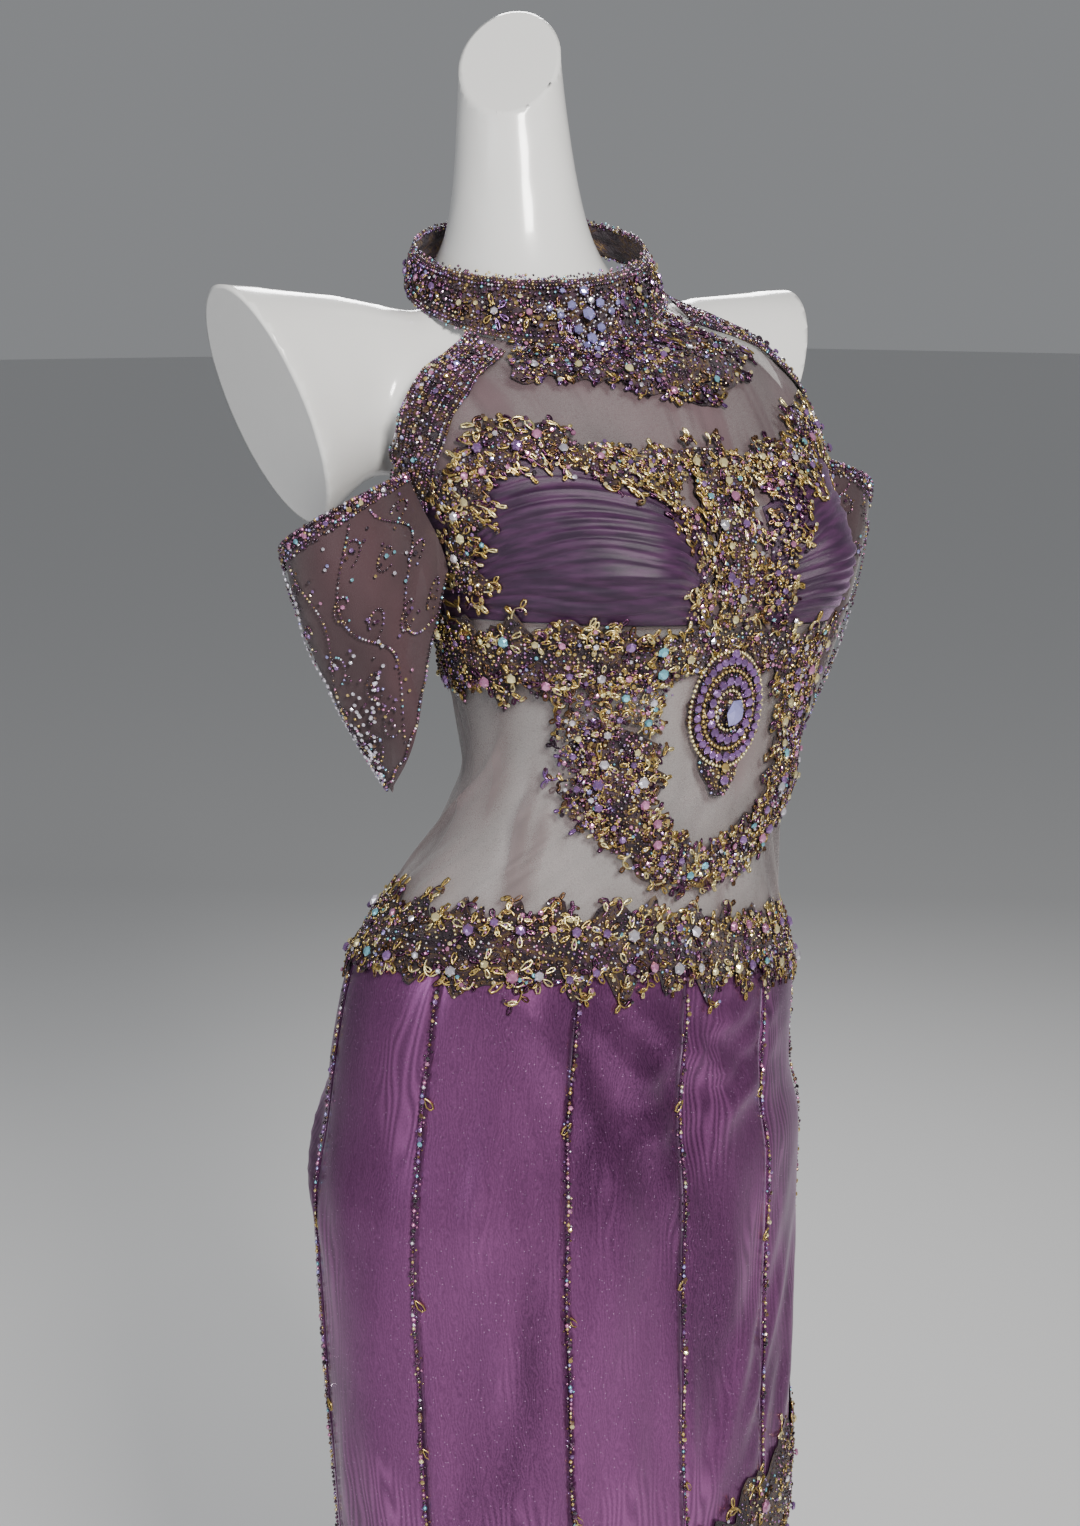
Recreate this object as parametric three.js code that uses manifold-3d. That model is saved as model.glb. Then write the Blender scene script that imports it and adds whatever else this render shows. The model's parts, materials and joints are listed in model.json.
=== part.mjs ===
// A mermaid evening dress with a halter collar and drop sleeves, worn by a limbless display form.
// Millimetres, +Z up. The dress faces -Y and the wearer's left is +X.
// The origin is the centre of the underside of the form's round base.
// Every cloth piece lies on one skin, which is addressed by an angle round the body (0 at the
// centre front, positive to the wearer's left) and a height.
import * as THREE from "three";
import { mergeVertices } from "three/addons/utils/BufferGeometryUtils.js";
import Module from "manifold-3d";

// Driving dimensions
const HEM = 12;
const SKIRT_TOP = 1002;
const UNDERBUST = 1228;
const COLLAR_FOOT = 1431;
const COLLAR_TOP = 1460;
const SIDE_SEAM = 95;
const CENTRE_PANEL = 9;
const SEAM_GAP = 0.35;
const NET = 1;
const SATIN = 1.3;
const TRIM_FOOT = 2.2;
const TRIM_EDGE = 3.2;
const TRIM_HIGH = 4.6;

// The skin's sections. side, front and back are its reach from its centre (dx, dy), power is the
// squareness of its outline, tilt lowers its front edge and sway raises its left side.
const SECTIONS = [
  { h: 12, side: 405, front: 375, back: 440, dx: 0, dy: 14, power: 2, tilt: 0, sway: 0 },
  { h: 90, side: 345, front: 312, back: 370, dx: 0, dy: 10, power: 2, tilt: 0, sway: 0 },
  { h: 190, side: 268, front: 232, back: 270, dx: 0, dy: 6, power: 2, tilt: 0, sway: 0 },
  { h: 290, side: 205, front: 166, back: 190, dx: 1, dy: 3, power: 2, tilt: 0, sway: 0 },
  { h: 380, side: 170, front: 128, back: 142, dx: 1, dy: 2, power: 2.05, tilt: 0, sway: 0 },
  { h: 470, side: 165, front: 120, back: 126, dx: 2, dy: 0, power: 2.1, tilt: 0, sway: 0 },
  { h: 570, side: 177, front: 125, back: 129, dx: 2, dy: 0, power: 2.1, tilt: 0, sway: 0 },
  { h: 700, side: 182, front: 122, back: 133, dx: 1, dy: 2, power: 2.1, tilt: 0, sway: 0 },
  { h: 850, side: 187, front: 121, back: 136, dx: 2, dy: 4, power: 2.1, tilt: 0, sway: 0 },
  { h: 900, side: 178, front: 115, back: 128, dx: 2, dy: 3, power: 2.1, tilt: -0.04, sway: -0.06 },
  { h: 980, side: 169, front: 109, back: 111, dx: 6, dy: -3, power: 2.1, tilt: -0.12, sway: -0.17 },
  { h: 1035, side: 145, front: 97, back: 93, dx: 10, dy: -10, power: 2.1, tilt: -0.12, sway: -0.17 },
  { h: 1090, side: 124, front: 87, back: 79, dx: 15, dy: -26, power: 2.1, tilt: -0.1, sway: -0.14 },
  { h: 1130, side: 121, front: 85, back: 77, dx: 22, dy: -35, power: 2.1, tilt: -0.08, sway: -0.11 },
  { h: 1200, side: 134, front: 93, back: 82, dx: 22, dy: -34, power: 2.1, tilt: -0.06, sway: -0.09 },
  { h: 1275, side: 148, front: 94, back: 88, dx: 21, dy: -30, power: 2.2, tilt: -0.03, sway: -0.05 },
  { h: 1320, side: 157, front: 90, back: 90, dx: 16, dy: -22, power: 2.3, tilt: 0.01, sway: -0.02 },
  { h: 1360, side: 158, front: 88, back: 86, dx: 9, dy: -12, power: 2.4, tilt: 0.07, sway: 0.02 },
  { h: 1395, side: 140, front: 84, back: 80, dx: -1, dy: -2, power: 2.3, tilt: 0.16, sway: 0.06 },
  { h: 1414, side: 112, front: 80, back: 76, dx: -10, dy: 6, power: 2.15, tilt: 0.28, sway: 0.1 },
  { h: 1431, side: 85, front: 72, back: 72, dx: -17, dy: 13, power: 2, tilt: 0.39, sway: 0.14 },
  { h: 1452, side: 76, front: 66, back: 66, dx: -20, dy: 15, power: 2, tilt: 0.3, sway: 0.14 },
  { h: 1475, side: 70, front: 62, back: 62, dx: -22, dy: 17, power: 2, tilt: 0.28, sway: 0.14 },
];

// The two cups: how far they stand out of the sections, and their reach across, up and down.
const CUP = { across: 80, h: 1268, out: 38, wide: 52, up: 62, down: 44 };

// The skirt's seams by angle, and how full the flute of each gore is beside its neighbours.
const GORES = [
  { name: "front", from: 0, to: 27, left: 0.85, right: 0.95 },
  { name: "side_front", from: 27, to: 64, left: 1.1, right: 1 },
  { name: "side", from: 64, to: 105, left: 1, right: 1.12 },
  { name: "side_back", from: 105, to: 143, left: 1.15, right: 1.02 },
  { name: "back", from: 143, to: 180, left: 0.98, right: 1.08 },
];
const FLUTE = { start: 400, depth: 36 };

// The bodice's upper edge by angle, from the collar round the armhole to the centre back.
const UPPER_EDGE = [
  { theta: 0, h: 1430.85 },
  { theta: 66, h: 1430.85 },
  { theta: 70, h: 1416 },
  { theta: 75, h: 1398 },
  { theta: 83, h: 1367 },
  { theta: 90, h: 1344 },
  { theta: 95, h: 1328 },
  { theta: 101, h: 1310 },
  { theta: 110, h: 1296 },
  { theta: 125, h: 1286 },
  { theta: 150, h: 1276 },
  { theta: 180, h: 1268 },
];

// The upper edge of the gathered cups by angle.
const CUP_EDGE = [
  { theta: 0, h: 1300 },
  { theta: 9, h: 1303 },
  { theta: 24, h: 1337 },
  { theta: 40, h: 1349 },
  { theta: 60, h: 1336 },
  { theta: 80, h: 1306 },
  { theta: 95, h: 1298 },
];

// The beaded band along the armhole and the back edge, given by its outer and inner edge.
const BAND = [
  { theta: 66, h: 1425, innerTheta: 46, innerH: 1425 },
  { theta: 69.5, h: 1412, innerTheta: 50, innerH: 1407 },
  { theta: 74.5, h: 1395, innerTheta: 56, innerH: 1386 },
  { theta: 82.5, h: 1365, innerTheta: 67, innerH: 1356 },
  { theta: 90, h: 1342, innerTheta: 78, innerH: 1329 },
  { theta: 95, h: 1326, innerTheta: 85, innerH: 1312 },
  { theta: 101, h: 1308, innerTheta: 94, innerH: 1292 },
  { theta: 110, h: 1294, innerTheta: 108, innerH: 1275 },
  { theta: 125, h: 1284, innerTheta: 124, innerH: 1265 },
  { theta: 150, h: 1274, innerTheta: 150, innerH: 1255 },
  { theta: 179.6, h: 1266, innerTheta: 179.6, innerH: 1247 },
];

// The paths of the beaded appliques: angle, height and half width.
const CUP_TRIM = [
  { theta: 24, h: 1324, wide: 13 },
  { theta: 30, h: 1340, wide: 15 },
  { theta: 41, h: 1352, wide: 16 },
  { theta: 53, h: 1345, wide: 16 },
  { theta: 66, h: 1322, wide: 15 },
  { theta: 76, h: 1294, wide: 15 },
  { theta: 81, h: 1268, wide: 13 },
  { theta: 81, h: 1246, wide: 12 },
];
const MIDRIFF_TRIM = [
  { theta: 31, h: 1160, wide: 21 },
  { theta: 35, h: 1142, wide: 25 },
  { theta: 35, h: 1122, wide: 25 },
  { theta: 26, h: 1098, wide: 21 },
  { theta: 14, h: 1076, wide: 18 },
  { theta: 4.5, h: 1066, wide: 15 },
];
const CENTRE_TRIM = [
  { theta: 0, h: 1342, wide: 20 },
  { theta: 0, h: 1320, wide: 28 },
  { theta: 0, h: 1292, wide: 27 },
  { theta: 0, h: 1264, wide: 25 },
  { theta: 0, h: 1244, wide: 28 },
];
// The oval jewel on the midriff: half width at each height.
const MEDALLION = [
  { theta: 1, h: 1204, wide: 3 },
  { theta: 1, h: 1198, wide: 9 },
  { theta: 1, h: 1188, wide: 20 },
  { theta: 1, h: 1174, wide: 22 },
  { theta: 1, h: 1156, wide: 19 },
  { theta: 1, h: 1144, wide: 13 },
  { theta: 1, h: 1132, wide: 11 },
  { theta: 1, h: 1124, wide: 4 },
];

// The drop sleeve: where it is sewn to the armhole, and how far it hangs out and down.
const SLEEVE = {
  front: 88,
  back: 128,
  frontTop: 1326,
  backTop: 1268,
  sewn: 1262,
  reachTop: 92,
  reachFoot: 34,
  swell: 20,
  sag: 12,
  point: 140,
  wall: 1,
};

// The form's body: how far inside the skin it lies. The dress rests on it at the hip and the bust.
const FORM_BODY = [
  { h: 800, inset: 3 },
  { h: 870, inset: 0.75 },
  { h: 930, inset: 2 },
  { h: 1020, inset: 4 },
  { h: 1090, inset: 5 },
  { h: 1140, inset: 5 },
  { h: 1180, inset: 4 },
  { h: 1212, inset: 4 },
  { h: 1240, inset: 4.5 },
  { h: 1268, inset: 4.5 },
  { h: 1296, inset: 4.5 },
  { h: 1326, inset: 6.5 },
  { h: 1360, inset: 6.5 },
  { h: 1392, inset: 6.5 },
  { h: 1410, inset: 6.5 },
  { h: 1424, inset: 7 },
];

// The form's neck above the collar's foot, and its shoulders from the body outwards. lean shears a
// shoulder's ring, so that the last one, the flat cut, faces outwards and down.
const NECK = [
  { h: 1440, r: 63, dx: -20, dy: 14, tilt: 0.34 },
  { h: 1456, r: 52, dx: -25, dy: 17, tilt: 0.22 },
  { h: 1476, r: 44.5, dx: -28, dy: 19, tilt: 0.1 },
  { h: 1508, r: 38.5, dx: -30, dy: 20, tilt: 0 },
];
const NECK_CUT = { h: 1574, r: 32, dx: -32, dy: 22, azimuth: -46, rise: 44 };
const SHOULDER = [
  { x: 40, dy: 20, z: 1374, deep: 38, high: 52, lean: 0 },
  { x: 98, dy: 30, z: 1366, deep: 34, high: 42, lean: 0 },
  { x: 138, dy: 34, z: 1372, deep: 34, high: 55, lean: 0.15 },
  { x: 172, dy: 31, z: 1371, deep: 38, high: 63, lean: 0.3 },
  { x: 203, dy: 29, z: 1365, deep: 48, high: 72, lean: 0.42 },
];
const SHOULDER_SHIFT = { x: -9, y: 7 };

const STAND = { base: 140, thick: 9, pole: 16, socket: 46, socketHigh: 24 };

const DEG = Math.PI / 180;
const clamp = THREE.MathUtils.clamp;
const lerp = THREE.MathUtils.lerp;

// Smooth value of one column of a table at a place along its key column, with no overshoot.
function column(rows, key, name, place) {
  const x = rows.map((row) => row[key]);
  const y = rows.map((row) => row[name]);
  const last = rows.length - 1;
  const at = clamp(place, x[0], x[last]);
  let i = 0;
  while (i < last - 1 && at > x[i + 1]) i += 1;
  const rise = (j) => (y[j + 1] - y[j]) / (x[j + 1] - x[j]);
  const slope = (j) => {
    if (j === 0) return rise(0);
    if (j === last) return rise(last - 1);
    const before = rise(j - 1);
    const after = rise(j);
    return before * after <= 0 ? 0 : (2 * before * after) / (before + after);
  };
  const span = x[i + 1] - x[i];
  const t = (at - x[i]) / span;
  const t2 = t * t;
  const t3 = t2 * t;
  return (
    y[i] * (2 * t3 - 3 * t2 + 1) +
    slope(i) * span * (t3 - 2 * t2 + t) +
    y[i + 1] * (3 * t2 - 2 * t3) +
    slope(i + 1) * span * (t3 - t2)
  );
}

// How far the skirt stands out or in at an angle, as the gores flute towards the hem.
function flute(theta, h) {
  const share = clamp((FLUTE.start - h) / (FLUTE.start - HEM), 0, 1);
  if (share === 0) return 0;
  const turn = Math.abs(theta);
  const gore = GORES.find((g) => turn <= g.to) ?? GORES[GORES.length - 1];
  const full = theta < 0 ? gore.right : gore.left;
  const swell = 0.5 - 0.5 * Math.cos((2 * Math.PI * (turn - gore.from)) / (gore.to - gore.from));
  return FLUTE.depth * share ** 1.4 * (2 * full * swell - 1);
}

// A point of the skin, before any thickness.
function base(theta, h) {
  const at = (name) => column(SECTIONS, "h", name, h);
  const power = 2 / at("power");
  const s = Math.sin(theta * DEG);
  const c = Math.cos(theta * DEG);
  let x = at("side") * Math.sign(s) * Math.abs(s) ** power;
  let y = -(c > 0 ? at("front") : at("back")) * Math.sign(c) * Math.abs(c) ** power;
  if (c > 0) {
    const rise = (h - CUP.h) / (h > CUP.h ? CUP.up : CUP.down);
    const bump = (side) => Math.exp(-(((x - side * CUP.across) / CUP.wide) ** 2) - rise * rise);
    y -= CUP.out * Math.min(bump(-1) + bump(1), 1.15);
  }
  const fluted = 1 + flute(theta, h) / Math.hypot(x, y);
  x *= fluted;
  y *= fluted;
  const tilted = h + at("tilt") * y + at("sway") * x;
  return new THREE.Vector3(x + at("dx"), y + at("dy"), tilted);
}

// A point of the skin moved out along its normal.
function skin(theta, h, out = 0) {
  const step = 0.5;
  const round = base(theta + step, h).sub(base(theta - step, h));
  const up = base(theta, h + step).sub(base(theta, h - step));
  return base(theta, h).addScaledVector(round.cross(up).normalize(), out);
}

// The angle that a length along the skin takes up at a place.
function angleOf(length, theta, h) {
  const perDegree = base(theta + 1, h).distanceTo(base(theta - 1, h)) / 2;
  return length / perDegree;
}

// An edge moved inwards from a seam by half of the parting.
function fromSeam(theta, h, sign) {
  return theta + (sign * angleOf(SEAM_GAP, theta, h)) / 2;
}

function geometryOf(points, faces) {
  const geometry = new THREE.BufferGeometry();
  geometry.setAttribute("position", new THREE.Float32BufferAttribute(points.flatMap((p) => p.toArray()), 3));
  geometry.setIndex(faces.flat());
  return geometry;
}

// A closed wall between two grids. place(s, t, side) gives its inner face at side 0 and its outer
// face at side 1, with s running to the wearer's left and t upwards.
function wall(cols, rows, place) {
  const points = [];
  const faces = [];
  const index = (i, j, side) => (side * (rows + 1) + j) * (cols + 1) + i;
  const quad = (a, b, c, d) => faces.push([a, b, c], [a, c, d]);
  for (const side of [0, 1]) {
    for (let j = 0; j <= rows; j += 1) {
      for (let i = 0; i <= cols; i += 1) points.push(place(i / cols, j / rows, side));
    }
  }
  for (let j = 0; j < rows; j += 1) {
    for (let i = 0; i < cols; i += 1) {
      quad(index(i, j, 1), index(i + 1, j, 1), index(i + 1, j + 1, 1), index(i, j + 1, 1));
      quad(index(i, j, 0), index(i, j + 1, 0), index(i + 1, j + 1, 0), index(i + 1, j, 0));
    }
    quad(index(0, j, 0), index(0, j, 1), index(0, j + 1, 1), index(0, j + 1, 0));
    quad(index(cols, j, 1), index(cols, j, 0), index(cols, j + 1, 0), index(cols, j + 1, 1));
  }
  for (let i = 0; i < cols; i += 1) {
    quad(index(i, 0, 0), index(i + 1, 0, 0), index(i + 1, 0, 1), index(i, 0, 1));
    quad(index(i, rows, 1), index(i + 1, rows, 1), index(i + 1, rows, 0), index(i, rows, 0));
  }
  return geometryOf(points, faces);
}

// A cloth panel between two angles and two edges, with an optional relief on its outer face.
// lines lists the angles of its columns, and shares how far up each of its rows is.
function panel({ lines, foot, top, shares, thick, relief = () => 0 }) {
  const cols = lines.length - 1;
  const rows = shares.length - 1;
  return wall(cols, rows, (s, t, side) => {
    const i = Math.round(s * cols);
    const low = foot(lines[i]) + SEAM_GAP / 2;
    const high = top(lines[i]) - SEAM_GAP / 2;
    const h = lerp(low, high, shares[Math.round(t * rows)]);
    const inward = i === 0 ? 1 : i === cols ? -1 : 0;
    return skin(fromSeam(lines[i], h, inward), h, side * (thick + relief(s, t)));
  });
}

// Angles in equal steps from one seam to the next.
function spread(from, to, count) {
  return Array.from({ length: count + 1 }, (_, i) => lerp(from, to, i / count));
}

// Mirrors a table or list of angles to the wearer's right, and keeps it running to the left.
const mirrored = (lines) => lines.map((theta) => -theta).reverse();

// The height of a trim's face: full along its middle, lumpy where motifs stand, low at its edges.
function trimHeight(s, t, lumps) {
  const middle = Math.sin(Math.PI * t) ** 0.5;
  const lump = 0.5 + 0.5 * Math.cos(2 * Math.PI * lumps * s);
  return TRIM_EDGE + (TRIM_HIGH - TRIM_EDGE) * middle * (0.4 + 0.6 * lump);
}

// A beaded applique along a path of the skin, with scalloped edges. side is 1 for the wearer's left.
function ribbon({ path, side = 1, cols, rows = 2, scallops, depth = 0.22, lift = 0 }) {
  const keyed = path.map((row, i) => ({ ...row, key: i / (path.length - 1) }));
  const at = (name, s) => column(keyed, "key", name, s);
  return wall(cols, rows, (s, t, face) => {
    const step = 0.02;
    const place = { theta: at("theta", s), h: at("h", s) };
    const perDegree = 1 / angleOf(1, place.theta, place.h);
    const along = new THREE.Vector2(
      (at("theta", Math.min(1, s + step)) - at("theta", Math.max(0, s - step))) * perDegree,
      at("h", Math.min(1, s + step)) - at("h", Math.max(0, s - step)),
    ).normalize();
    const half = at("wide", s) * (1 + depth * Math.cos(2 * Math.PI * scallops * s));
    const across = lerp(-half, half, side > 0 ? t : 1 - t);
    const theta = place.theta - (along.y * across) / perDegree;
    const h = place.h + along.x * across;
    const out = face === 0 ? TRIM_FOOT : trimHeight(s, t, scallops);
    return skin(side * theta, h, lift + out);
  });
}

// A beaded applique that runs round the body between two scalloped edges. cover(theta, h, out) is
// the surface that it lies on, and lift clears that surface's own folds.
function girdle({ from, to, cols, rows = 2, low, high, period, depth, lift = 0, cover = skin }) {
  const wave = (theta, phase) => depth * Math.cos((2 * Math.PI * (theta + phase)) / period);
  return wall(cols, rows, (s, t, face) => {
    const theta = lerp(from, to, s);
    const h = lerp(low(theta) - wave(theta, 0), high(theta) + wave(theta, period / 3), t);
    const out = face === 0 ? TRIM_FOOT : trimHeight(s, t, (to - from) / period);
    return cover(theta, h, lift + out);
  });
}

// A closed body through rings of points, each ring running to the wearer's left as seen in front.
function loft(rings) {
  const count = rings[0].length;
  const points = rings.flat();
  const faces = [];
  for (let j = 0; j < rings.length - 1; j += 1) {
    for (let i = 0; i < count; i += 1) {
      const a = j * count + i;
      const b = j * count + ((i + 1) % count);
      faces.push([a, b, b + count], [a, b + count, a + count]);
    }
  }
  for (const [j, flip] of [[0, true], [rings.length - 1, false]]) {
    const middle = rings[j].reduce((sum, p) => sum.add(p), new THREE.Vector3()).divideScalar(count);
    const hub = points.push(middle) - 1;
    for (let i = 0; i < count; i += 1) {
      const a = j * count + i;
      const b = j * count + ((i + 1) % count);
      faces.push(flip ? [b, a, hub] : [a, b, hub]);
    }
  }
  return geometryOf(points, faces);
}

const wasm = await Module();
wasm.setup();

function solidOf(geometry) {
  const merged = mergeVertices(geometry);
  return new wasm.Manifold(
    new wasm.Mesh({
      numProp: 3,
      vertProperties: merged.attributes.position.array,
      triVerts: new Uint32Array(merged.index.array),
    }),
  );
}

function geometryFrom(solid) {
  const mesh = solid.getMesh();
  const geometry = new THREE.BufferGeometry();
  geometry.setAttribute("position", new THREE.BufferAttribute(mesh.vertProperties, 3));
  geometry.setIndex(new THREE.BufferAttribute(mesh.triVerts, 1));
  return geometry;
}

const finishOf = (color, roughness, metalness) => new THREE.MeshStandardMaterial({ color, roughness, metalness });
const FINISH = {
  net: finishOf(0x6a5a62, 0.8, 0),
  satin: finishOf(0x6b3a70, 0.4, 0.1),
  chiffon: finishOf(0x3a2440, 0.7, 0),
  beadwork: finishOf(0x8a7040, 0.35, 0.6),
  form: finishOf(0xe8e8e4, 0.25, 0),
  steel: finishOf(0xb8bcc0, 0.3, 1),
};

const dress = new THREE.Group();

function add(name, geometry, finish) {
  const mesh = new THREE.Mesh(geometry, FINISH[finish]);
  mesh.name = name;
  dress.add(mesh);
}

const upperEdge = (theta) => column(UPPER_EDGE, "theta", "h", Math.abs(theta));
const cupEdge = (theta) => column(CUP_EDGE, "theta", "h", Math.abs(theta));
const level = (h) => () => h;

// The columns that the yoke and the cups share, so that their seams lie together, and the back's.
const leftLines = spread(CENTRE_PANEL, SIDE_SEAM, 9);
const frontLines = [...mirrored(leftLines), 0, ...leftLines];
const backLines = spread(SIDE_SEAM, 180, 7);

// The heights of the gores' rows, and the number of columns in each gore.
const GORE_ROWS = [HEM, 90, 170, 245, 310, 370, 430, 490, 570, 670, 780, 870, 930, 966, SKIRT_TOP];
const GORE_COLUMNS = 5;

// A point of the flat facets that the gores are made of, moved out.
function onGores(theta, h, out) {
  const turn = Math.abs(theta);
  const gore = GORES.find((g) => turn <= g.to);
  const width = (gore.to - gore.from) / GORE_COLUMNS;
  const column = Math.min(Math.floor((turn - gore.from) / width), GORE_COLUMNS - 1);
  const left = gore.from + column * width;
  const across = (turn - left) / width;
  const row = GORE_ROWS.findLastIndex((foot) => foot <= h);
  const up = (h - GORE_ROWS[row]) / (GORE_ROWS[row + 1] - GORE_ROWS[row]);
  const side = Math.sign(theta);
  const edge = (at) => {
    const low = skin(side * at, GORE_ROWS[row], out);
    return low.lerp(skin(side * at, GORE_ROWS[row + 1], out), up);
  };
  return edge(left).lerp(edge(left + width), across);
}

// Ten gores, each cut in one piece from the midriff's seam through the knee to the fluted hem.
function skirt() {
  const last = GORE_ROWS.length - 1;
  for (const side of [-1, 1]) {
    for (const gore of GORES) {
      const lines = spread(gore.from, gore.to, GORE_COLUMNS);
      const turned = side > 0 ? lines : mirrored(lines);
      const geometry = wall(GORE_COLUMNS, last, (s, t, face) => {
        const i = Math.round(s * GORE_COLUMNS);
        const row = Math.round(t * last);
        const h = row === last ? SKIRT_TOP - SEAM_GAP / 2 : GORE_ROWS[row];
        const inward = i === 0 ? 1 : i === GORE_COLUMNS ? -1 : 0;
        return skin(fromSeam(turned[i], h, inward), h, face * SATIN);
      });
      add(`gore_${gore.name}_${side > 0 ? "left" : "right"}`, geometry, "satin");
    }
  }
}

// The sheer midriff: one front and two back panels, which part at the concealed back closure.
function midriff() {
  const shares = [0, 0.07, 0.14, 0.22, 0.32, 0.44, 0.56, 0.68, 0.79, 0.87, 0.94, 1];
  const edges = { foot: level(SKIRT_TOP), top: level(UNDERBUST - SEAM_GAP), shares, thick: NET };
  add("midriff_front", panel({ lines: spread(-SIDE_SEAM, SIDE_SEAM, 18), ...edges }), "net");
  add("midriff_back_left", panel({ lines: backLines, ...edges }), "net");
  add("midriff_back_right", panel({ lines: mirrored(backLines), ...edges }), "net");
}

// The gathers of a cup: ridges across it that die away under the appliques at its edges. inner and
// outer are the shares of its width where they end, beside the centre panel and the side seam.
function gathers({ rows, inner, outer }) {
  const height = 2.6;
  return (s, t) => {
    const ridge = Math.round(t * rows) % 2;
    const across = clamp((s - inner) / 0.12, 0, 1) * clamp((outer - s) / 0.12, 0, 1);
    const up = clamp((t - 0.06) / 0.08, 0, 1) * clamp((0.84 - t) / 0.08, 0, 1);
    return height * ridge * across * up;
  };
}

// The bust: two gathered cups beside a narrow centre panel, and the back at the same height.
function bust() {
  const rows = 16;
  const shares = spread(0, 1, rows);
  const cup = { foot: level(UNDERBUST), top: cupEdge, shares, thick: SATIN };
  const reach = { rows, inner: 0.1, outer: 0.67 };
  const left = gathers(reach);
  const right = (s, t) => left(1 - s, t);
  add("cup_left", panel({ lines: leftLines, ...cup, relief: left }), "chiffon");
  add("cup_right", panel({ lines: mirrored(leftLines), ...cup, relief: right }), "chiffon");
  const middle = { lines: spread(-CENTRE_PANEL, CENTRE_PANEL, 4), foot: level(UNDERBUST), top: cupEdge };
  add("centre_front", panel({ ...middle, shares: spread(0, 1, 8), thick: NET }), "net");
  const back = { foot: level(UNDERBUST), top: upperEdge, shares: spread(0, 1, 3), thick: SATIN };
  add("back_left", panel({ lines: backLines, ...back }), "chiffon");
  add("back_right", panel({ lines: mirrored(backLines), ...back }), "chiffon");
}

// The sheer yoke from the cups to the collar, with its armholes cut away at the sides.
function yoke() {
  const shares = [0, 0.2, 0.4, 0.58, 0.72, 0.83, 0.92, 1];
  add("yoke", panel({ lines: frontLines, foot: cupEdge, top: upperEdge, shares, thick: NET }), "net");
}

// The standing collar, which parts at the centre back and is held by two covered buttons.
function collar() {
  const thick = 3.2;
  const rim = 1;
  const rows = 3;
  const geometry = wall(28, rows, (s, t, face) => {
    const h = lerp(COLLAR_FOOT, COLLAR_TOP, t);
    const theta = fromSeam(lerp(-180, 180, s), h, s === 0 ? 1 : s === 1 ? -1 : 0);
    const piped = t === 0 || t === 1 ? rim : 0;
    return skin(theta, h, 0.2 + face * (thick + piped));
  });
  add("collar", geometry, "beadwork");
  const buttonRadius = 3.8;
  const buttonHigh = 4;
  for (const [name, h, clear] of [["lower", 1436.5, -0.15], ["upper", 1454, 0.5]]) {
    const profile = [
      new THREE.Vector2(0, 0),
      new THREE.Vector2(buttonRadius * 0.8, 0),
      new THREE.Vector2(buttonRadius, buttonHigh * 0.4),
      new THREE.Vector2(buttonRadius * 0.7, buttonHigh * 0.85),
      new THREE.Vector2(0, buttonHigh),
    ];
    const button = new THREE.LatheGeometry(profile, 12);
    const seat = skin(180, h, thick + rim + clear);
    const outward = skin(180, h, thick + rim + clear + 1).sub(seat).normalize();
    const turn = new THREE.Quaternion().setFromUnitVectors(new THREE.Vector3(0, 1, 0), outward);
    button.applyQuaternion(turn);
    button.translate(seat.x, seat.y, seat.z);
    add(`collar_button_${name}`, button, "chiffon");
  }
}

// The beaded bands that bind the armholes and run on to the centre back.
function armholeBands() {
  const keyed = BAND.map((row, i) => ({ ...row, key: i / (BAND.length - 1) }));
  const at = (name, s) => column(keyed, "key", name, s);
  for (const side of [-1, 1]) {
    const geometry = wall(22, 2, (s, t, face) => {
      const along = side > 0 ? s : 1 - s;
      const theta = lerp(at("innerTheta", along), at("theta", along), t);
      const h = lerp(at("innerH", along), at("h", along), t);
      const out = face === 0 ? TRIM_FOOT + 0.6 : t === 0.5 ? TRIM_HIGH : TRIM_EDGE + 0.6;
      return skin(side * theta, h, out);
    });
    add(`armhole_band_${side > 0 ? "left" : "right"}`, geometry, "beadwork");
  }
}

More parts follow.
